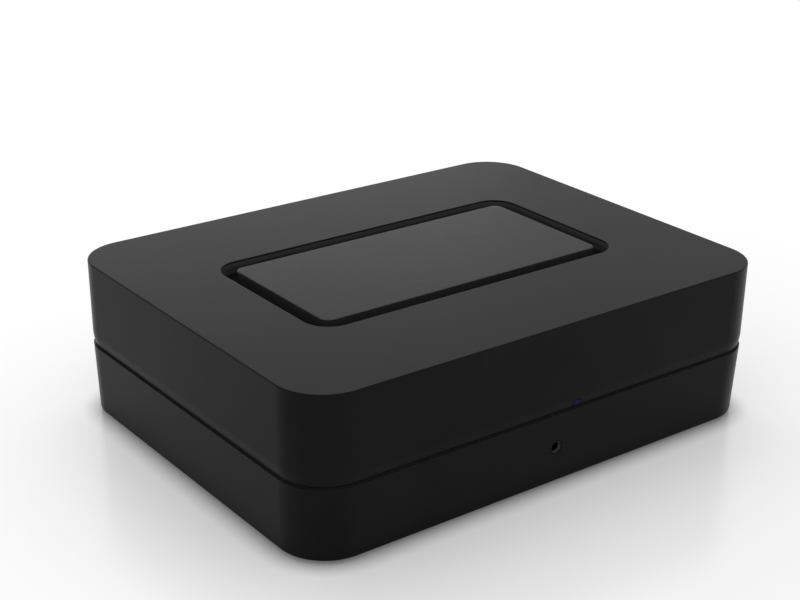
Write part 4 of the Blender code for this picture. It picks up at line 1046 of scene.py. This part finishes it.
def make_mains_pins():
    """Pins with round tips in the mains mouth."""
    for node, low, high in boxes("mains_pin"):
        path = filleted([
            (END_CAP * MAINS_PIN_RADIUS, low.y, 0.0),
            (MAINS_PIN_RADIUS, low.y, RIM_ROUND),
            (MAINS_PIN_RADIUS, high.y, MAINS_PIN_TIP * MAINS_PIN_RADIUS),
            (0.0, high.y, 0.0),
        ])[:-1]
        make_turned(node, path)


def plain_mouth(node, size):
    """Function that gives the outline of a socket's rounded mouth, grown by a width."""
    half_x, half_z, lift, _ = size
    x, z = axis_of(node)

    def mouth(grow):
        return rounded_outline(half_x + grow, half_z + grow, SOCKET_RADIUS + grow, (x, z + lift))

    return mouth


def make_socket(node, mouth, depth):
    """Housing of a socket with a mouth in its rear face. The mouth is an outline grown by a width."""
    low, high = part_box(node)
    rim = rear_rim(low.y, high.y, HOLE_ROUND)
    housing = build(node + "_detail", rear_skin(low, high, SOCKET_RADIUS, rim))
    rings = [(mouth(grow), y) for grow, y in flare(0.0, high.y - depth, high.y)]
    cut(housing, (rings, "Y", "caps"))
    return housing


def wires(name, routes, radius):
    """Round wires along routes of points, with closed ends."""
    curve = bpy.data.curves.new(name, "CURVE")
    curve.dimensions = "3D"
    curve.bevel_depth = radius
    curve.bevel_resolution = WIRE_ROUNDNESS
    curve.use_fill_caps = True
    for route in routes:
        spline = curve.splines.new("POLY")
        spline.points.add(len(route) - 1)
        for point, place in zip(spline.points, route):
            point.co = (*place, 1.0)
    wire = new_object(name, curve)
    bm = bmesh.new()
    bm.from_mesh(wire.evaluated_get(bpy.context.evaluated_depsgraph_get()).to_mesh())
    bpy.data.objects.remove(wire)
    return object_from(name, bm)


def make_ethernet_jack():
    """Network socket: a stepped mouth with eight sprung contacts along its top."""
    low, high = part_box("ethernet_jack")
    x, z = middle(low, high)
    half_x, half_z, lift, depth = ETHERNET_MOUTH
    latch_half, latch_drop = ETHERNET_LATCH

    def mouth(grow):
        top = z + lift + half_z + grow
        step = z + lift - half_z - grow
        wide = half_x + grow
        narrow = latch_half + grow
        corners = [
            (x - narrow, step - latch_drop, RIM_ROUND), (x + narrow, step - latch_drop, RIM_ROUND),
            (x + narrow, step, RIM_ROUND), (x + wide, step, RIM_ROUND),
            (x + wide, top, RIM_ROUND), (x - wide, top, RIM_ROUND),
            (x - wide, step, RIM_ROUND), (x - narrow, step, RIM_ROUND),
        ]
        return filleted(corners, closed=True)

    dress(make_socket("ethernet_jack", mouth, depth), "ethernet_jack")
    top = z + lift + half_z
    routes = []
    for at in row(x, ETHERNET_CONTACTS, ETHERNET_PITCH):
        routes.append([(at, high.y - back, top - drop) for back, drop in ETHERNET_SPRING])
    dress(wires("ethernet_contacts_detail", routes, CONTACT_RADIUS), "ethernet_jack", "gold")


def make_usb_port():
    """USB socket: a folded shell with a tongue and its four contacts."""
    x, z = axis_of("usb_port")
    depth = USB_MOUTH[3]
    dress(make_socket("usb_port", plain_mouth("usb_port", USB_MOUTH), depth), "usb_port")
    half_x, half_z, lift, length = USB_TONGUE
    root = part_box("usb_port")[1].y - depth
    tip = root + length
    rings = []
    for inset, y in rear_rim(root - SINK, tip, HOLE_ROUND):
        size = (half_x - inset, half_z - inset, SOCKET_RADIUS - inset)
        rings.append((rounded_outline(*size, (x, z + lift)), y))
    dress(build("usb_tongue_detail", (rings, "Y", "caps")), "usb_port", "white")
    under = z + lift - half_z
    routes = []
    for at in row(x, USB_CONTACTS, USB_PITCH):
        tips = [(at, tip - back, under + rise) for back, rise in USB_SPRING]
        routes.append([(at, root, under), *tips])
    dress(wires("usb_contacts_detail", routes, CONTACT_RADIUS), "usb_port", "gold")


def shutter_axis():
    """Y and Z of the shutter's hinge."""
    low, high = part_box("optical_shutter")
    return ((low.y + high.y) / 2, high.z - SHUTTER_ABOVE_AXIS)


def make_optical_port():
    """Optical socket, with holes in its sides for the shutter's pin."""
    port = make_socket("optical_port", plain_mouth("optical_port", OPTICAL_MOUTH), OPTICAL_MOUTH[3])
    low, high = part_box("optical_shutter")
    hole = [(SHUTTER_PIN_HOLE_RADIUS, x) for x in (low.x - CLEARANCE, high.x + CLEARANCE)]
    cut(port, turned_skin(hole, shutter_axis(), "X"))
    dress(port, "optical_port")


def make_optical_shutter():
    """Sprung flap in the optical mouth that swings inwards on a pin along its top."""
    low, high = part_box("optical_shutter")
    x, _ = axis_of("optical_port")
    y, _ = shutter_axis()
    half_x, half_y = (size / 2 for size in SHUTTER_SIZE)
    side = filleted([
        (y - half_y, low.z, HOLE_ROUND),
        (y + half_y, low.z, HOLE_ROUND),
        (y + half_y, high.z, HOLE_ROUND),
        (y - half_y, high.z, HOLE_ROUND),
    ], closed=True)
    shutter = build("optical_shutter_detail", ([(side, x - half_x), (side, x + half_x)], "X", "caps"))
    pin = [(SHUTTER_PIN_RADIUS, low.x), (SHUTTER_PIN_RADIUS, high.x)]
    join(shutter, turned_skin(pin, shutter_axis(), "X", sides=PIN_SIDES))
    dress(shutter, "optical_shutter")


def make_rca_jacks():
    """Phono sockets: a gilt barrel round an insulating core with a sprung contact, on a block."""
    block_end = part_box("rear_panel")[0].y - RCA_BLOCK_END
    start = block_end + SAME_PLACE
    inside = RCA_BARREL_RADIUS - RCA_BARREL_WALL
    rim = RCA_HOLE_RADIUS - SAME_PLACE
    for node, low, high in boxes("rca_jack"):
        face = high.y - RCA_CORE_SINK
        block = rear_skin(low, high, SOCKET_RADIUS, [(0.0, low.y), (0.0, block_end)])
        dress(build(node + "_block_detail", block), node, "trim")
        make_sleeve(node, (inside, RCA_BARREL_RADIUS), (start, high.y), (RIM_ROUND, RIM_ROUND))
        core = (RCA_HOLE_RADIUS, inside - SAME_PLACE)
        make_sleeve(node, core, (start, face), (RIM_ROUND, 0.0), "_core", "white")
        contact = (rim - RCA_CONTACT_WALL, rim)
        make_sleeve(node, contact, (start, face - RCA_CORE_SINK), part="_contact")


def make_rca_collars():
    """Coloured collars round the phono barrels."""
    for node, low, high in boxes("rca_collar"):
        radii = (RCA_BARREL_RADIUS + CLEARANCE, half_width(node))
        make_sleeve(node, radii, (low.y, high.y), (RIM_ROUND, RCA_COLLAR_ROUND))


def make_reset_button():
    """Push button with a dished face."""
    low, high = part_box("reset_button")
    flange = half_width("reset_button")
    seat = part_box("rear_panel")[0].y - CLEARANCE
    path = filleted([
        (END_CAP * RESET_STEM_RADIUS, low.y, 0.0),
        (RESET_STEM_RADIUS, low.y, RIM_ROUND),
        (RESET_STEM_RADIUS, seat - RESET_FLANGE, 0.0),
        (flange, seat - RESET_FLANGE, RIM_ROUND),
        (flange, seat, RIM_ROUND),
        (RESET_RADIUS, seat, 0.0),
        (RESET_RADIUS, high.y, EDGE_ROUND),
        (RESET_RIM * RESET_RADIUS, high.y, RIM_ROUND),
        (RESET_HOLLOW * RESET_RADIUS, high.y - RESET_DISH, 0.0),
    ])
    make_turned("reset_button", path)


def make_post_blocks():
    """Insulating blocks that carry the posts through the panel."""
    for node, low, high in boxes("post_block"):
        seat = high.y - POST_BLOCK_THICKNESS
        rim = rear_rim(seat, high.y, POST_BLOCK_ROUND)
        block = build(node + "_detail", rear_skin(low, high, POST_BLOCK_RADIUS, rim))
        studs = named(node.replace("block", "stud"))
        places = [axis_of(stud) for stud in studs]
        spigot = [(SPIGOT_RADIUS, low.y), (SPIGOT_RADIUS, seat + SINK)]
        join(block, *[turned_skin(spigot, place, "Y") for place in places])
        cut(block, *[round_hole(STUD_RADIUS, stud, low.y - OVERCUT, high.y) for stud in studs])
        dress(block, node)


def thread_ring(centre, y):
    """Ring of a screw thread at a place along its axis."""
    points = []
    for side in range(ROUND_SIDES):
        turn = side / ROUND_SIDES
        phase = (y / THREAD_PITCH - turn) % 1.0
        radius = STUD_RADIUS - THREAD_DEPTH * abs(2 * phase - 1)
        angle = 2 * math.pi * turn
        points.append((centre[0] + radius * math.cos(angle), centre[1] + radius * math.sin(angle)))
    return points


def make_post_studs():
    """Gilt studs: a thread, a bore for a plug and a clamp nut behind the panel."""
    block_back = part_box("post_block_left")[0].y
    for node, low, high in boxes("post_stud"):
        centre = middle(low, high)
        nut_radius = half_width(node)
        nut = block_back - CLEARANCE
        bore_radius, bore_depth = STUD_BORE
        start = nut + CLEARANCE
        count = int((high.y - EDGE_ROUND - start) / THREAD_PITCH * THREAD_STEPS)
        profile = filleted([
            (END_CAP * STUD_RADIUS, low.y, 0.0),
            (STUD_RADIUS, low.y, RIM_ROUND),
            (STUD_RADIUS, nut - NUT_HEIGHT, 0.0),
            (nut_radius, nut - NUT_HEIGHT, RIM_ROUND),
            (nut_radius, nut, RIM_ROUND),
            (STUD_RADIUS, nut, 0.0),
        ])
        rings = [(circle(radius, centre), y) for radius, y in profile]
        steps = [start + index * THREAD_PITCH / THREAD_STEPS for index in range(count)]
        rings += [(thread_ring(centre, y), y) for y in steps]
        end = filleted([
            (STUD_RADIUS - THREAD_DEPTH, steps[-1] + RIM_ROUND, 0.0),
            (STUD_RADIUS - THREAD_DEPTH, high.y, RIM_ROUND),
            (bore_radius, high.y, RIM_ROUND),
            (bore_radius, high.y - bore_depth, 0.0),
        ])
        rings += [(circle(radius, centre), y) for radius, y in end]
        dress(build(node + "_detail", (rings, "Y", "caps")), node)


def make_post_inserts():
    """Threaded sleeves inside the grips."""
    for node, low, high in boxes("post_insert"):
        outside = half_width(node)
        inside = STUD_RADIUS + CLEARANCE
        path = filleted([
            (inside, low.y, RIM_ROUND),
            (inside, high.y, RIM_ROUND),
            (outside, high.y, RIM_ROUND),
            (outside, low.y, RIM_ROUND),
        ], closed=True)
        make_turned(node, path, ends="join")


def fluted(radius, depth, centre):
    """Outline of a grip with round flutes."""
    points = []
    count = GRIP_FLUTES * FLUTE_STEPS
    for step in range(count):
        angle = 2 * math.pi * step / count
        reach = radius - depth * (0.5 - 0.5 * math.cos(GRIP_FLUTES * angle)) ** 2
        points.append((centre[0] + reach * math.cos(angle), centre[1] + reach * math.sin(angle)))
    return points


def make_post_grips():
    """Fluted grips with a smooth band at the foot and a hole for a plug in the end."""
    for node, low, high in boxes("post_grip"):
        centre = middle(low, high)
        radius = (high.z - low.z) / 2
        band = low.y + GRIP_BAND
        shoulder = high.y - GRIP_SHOULDER
        foot = filleted([
            (GRIP_BORE_RADIUS, low.y, 0.0),
            (radius - RIM_ROUND, low.y, GRIP_ROUND),
            (radius - RIM_ROUND, band, RIM_ROUND),
            (radius - 2 * GRIP_ROUND, band, 0.0),
        ])
        flutes = filleted([
            (radius - 2 * GRIP_ROUND, band + RIM_ROUND, 0.0),
            (radius, band + RIM_ROUND, GRIP_ROUND),
            (radius, high.y, GRIP_ROUND),
            (radius - 2 * GRIP_ROUND, high.y, 0.0),
        ])
        hole = filleted([
            (radius - 2 * GRIP_ROUND, high.y, 0.0),
            (GRIP_HOLE_RADIUS, high.y, GRIP_ROUND),
            (GRIP_HOLE_RADIUS, shoulder, 0.0),
            (GRIP_BORE_RADIUS, shoulder, 0.0),
        ])[1:]
        rings = [(fluted(s, 0.0, centre), y) for s, y in foot]
        rings += [(fluted(s, FLUTE_DEPTH, centre), y) for s, y in flutes]
        rings += [(fluted(s, 0.0, centre), y) for s, y in hole]
        dress(build(node + "_detail", (rings, "Y", "join")), node)


def keep_inner_nodes():
    """Give the nodes that stay as packed a finish."""
    for node, obj in frame["nodes"].items():
        if not obj.hide_render:
            obj.data.materials.clear()
            obj.data.materials.append(FINISHES[SLOTS[node]])


# Stage


def background_rays(nodes):
    """Value that is 1 for rays that show the background: straight, mirrored or through glass."""
    path = nodes.new("ShaderNodeLightPath")
    total = path.outputs["Is Camera Ray"]
    for name in ("Is Glossy Ray", "Is Transmission Ray"):
        total = computed(nodes, MATH, "MAXIMUM", total, path.outputs[name])
    return total


def make_world():
    """White surroundings that light the object softly."""
    world = bpy.data.worlds.new("studio")
    bpy.context.scene.world = world
    world.use_nodes = True
    nodes = world.node_tree.nodes
    strength = mapped(nodes, background_rays(nodes), FULL_RANGE, (WORLD_LIGHT, WHITE))
    nodes["Background"].inputs["Color"].default_value = (1.0, 1.0, 1.0, 1.0)
    world.node_tree.links.new(strength, nodes["Background"].inputs["Strength"])


def table_fade(nodes):
    """Share of white in the table, which grows with the distance from the object."""
    place = nodes.new("ShaderNodeTexCoord").outputs["Object"]
    distance = computed(nodes, VECTOR_MATH, "DISTANCE", place, FLOOR_MIDDLE)
    return mapped(nodes, distance, FLOOR_FADE, FLOOR_WHITE, "SMOOTHSTEP")


def contact_light(nodes):
    """Share of light on the table, which falls off close under the object."""
    near = nodes.new("ShaderNodeAmbientOcclusion")
    near.inputs["Distance"].default_value = CONTACT_REACH
    return mapped(nodes, near.outputs["AO"], CONTACT_OPEN, CONTACT_LIGHT)


def make_floor_finish():
    """Pale satin table that fades to white away from the object."""
    material = bpy.data.materials.new("pale_table")
    material.use_nodes = True
    nodes = material.node_tree.nodes
    links = material.node_tree.links
    shader = nodes["Principled BSDF"]
    shader.inputs["Roughness"].default_value = FLOOR_ROUGHNESS
    shader.inputs["IOR"].default_value = FLOOR_IOR
    light = contact_light(nodes)
    links.new(blended(nodes, light, (0.0, 0.0, 0.0), FLOOR_COLOUR), shader.inputs["Base Color"])
    share = computed(nodes, MATH, "MULTIPLY", table_fade(nodes), background_rays(nodes))
    share = computed(nodes, MATH, "MULTIPLY", share, light)
    white = nodes.new("ShaderNodeEmission")
    white.inputs["Strength"].default_value = WHITE
    mix = nodes.new("ShaderNodeMixShader")
    links.new(share, mix.inputs["Fac"])
    links.new(shader.outputs["BSDF"], mix.inputs[1])
    links.new(white.outputs["Emission"], mix.inputs[2])
    links.new(mix.outputs["Shader"], nodes["Material Output"].inputs["Surface"])
    return material


def make_floor():
    """Round table top that the object stands on."""
    bm = bmesh.new()
    bmesh.ops.create_circle(bm, cap_ends=True, radius=FLOOR_RADIUS, segments=FLOOR_SIDES)
    bmesh.ops.translate(bm, vec=(0.0, 0.0, CAD_LOW.z - FLOOR_DROP), verts=bm.verts)
    floor = object_from("floor", bm)
    floor.data.materials.append(make_floor_finish())
    floor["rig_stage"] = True


def make_lamps():
    """Large soft lamps aimed at the object."""
    target = (CAD_LOW + CAD_HIGH) / 2
    for name, (place, size, power) in LAMPS.items():
        data = bpy.data.lights.new(name, "AREA")
        data.shape = "RECTANGLE"
        data.size, data.size_y = size
        data.energy = power
        lamp = new_object(name, data)
        lamp.location = place
        lamp.rotation_mode = "QUATERNION"
        lamp.rotation_quaternion = (target - Vector(place)).to_track_quat("-Z", "Y")


def make_camera():
    """Camera at the photograph's viewing angle."""
    data = bpy.data.cameras.new("camera")
    data.sensor_width = CAMERA_SENSOR
    data.lens = CAMERA_LENS
    data.shift_x, data.shift_y = CAMERA_SHIFT
    data.clip_start = CAMERA_CLIP
    camera = new_object("camera", data)
    camera.matrix_world = (
        Matrix.Translation(CAMERA_PLACE)
        @ Matrix.Rotation(CAMERA_HEADING, 4, "Z")
        @ Matrix.Rotation(math.pi / 2 - CAMERA_TILT, 4, "X")
        @ Matrix.Rotation(CAMERA_ROLL, 4, "Z")
    )
    bpy.context.scene.camera = camera


def main():
    """Build the pieces and the stage."""
    make_top_shell()
    make_base_shell()
    make_waist_band()
    make_touch_plate()
    make_touch_tray()
    make_status_light()
    make_front_jack_bush()
    make_feet()
    make_screws("case_screw", "Z")
    make_rear_frame()
    make_rear_panel()
    make_screws("panel_screw", "Y")
    make_mains_inlet()
    make_mains_pins()
    make_ethernet_jack()
    make_usb_port()
    make_optical_port()
    make_optical_shutter()
    make_rca_jacks()
    make_rca_collars()
    make_reset_button()
    make_post_blocks()
    make_post_studs()
    make_post_inserts()
    make_post_grips()
    keep_inner_nodes()
    make_world()
    make_floor()
    make_lamps()
    make_camera()
    bpy.context.scene.view_settings.view_transform = "Standard"


main()
low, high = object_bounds()
boxes = {"cad": [list(CAD_LOW), list(CAD_HIGH)], "visual": [list(low), list(high)]}
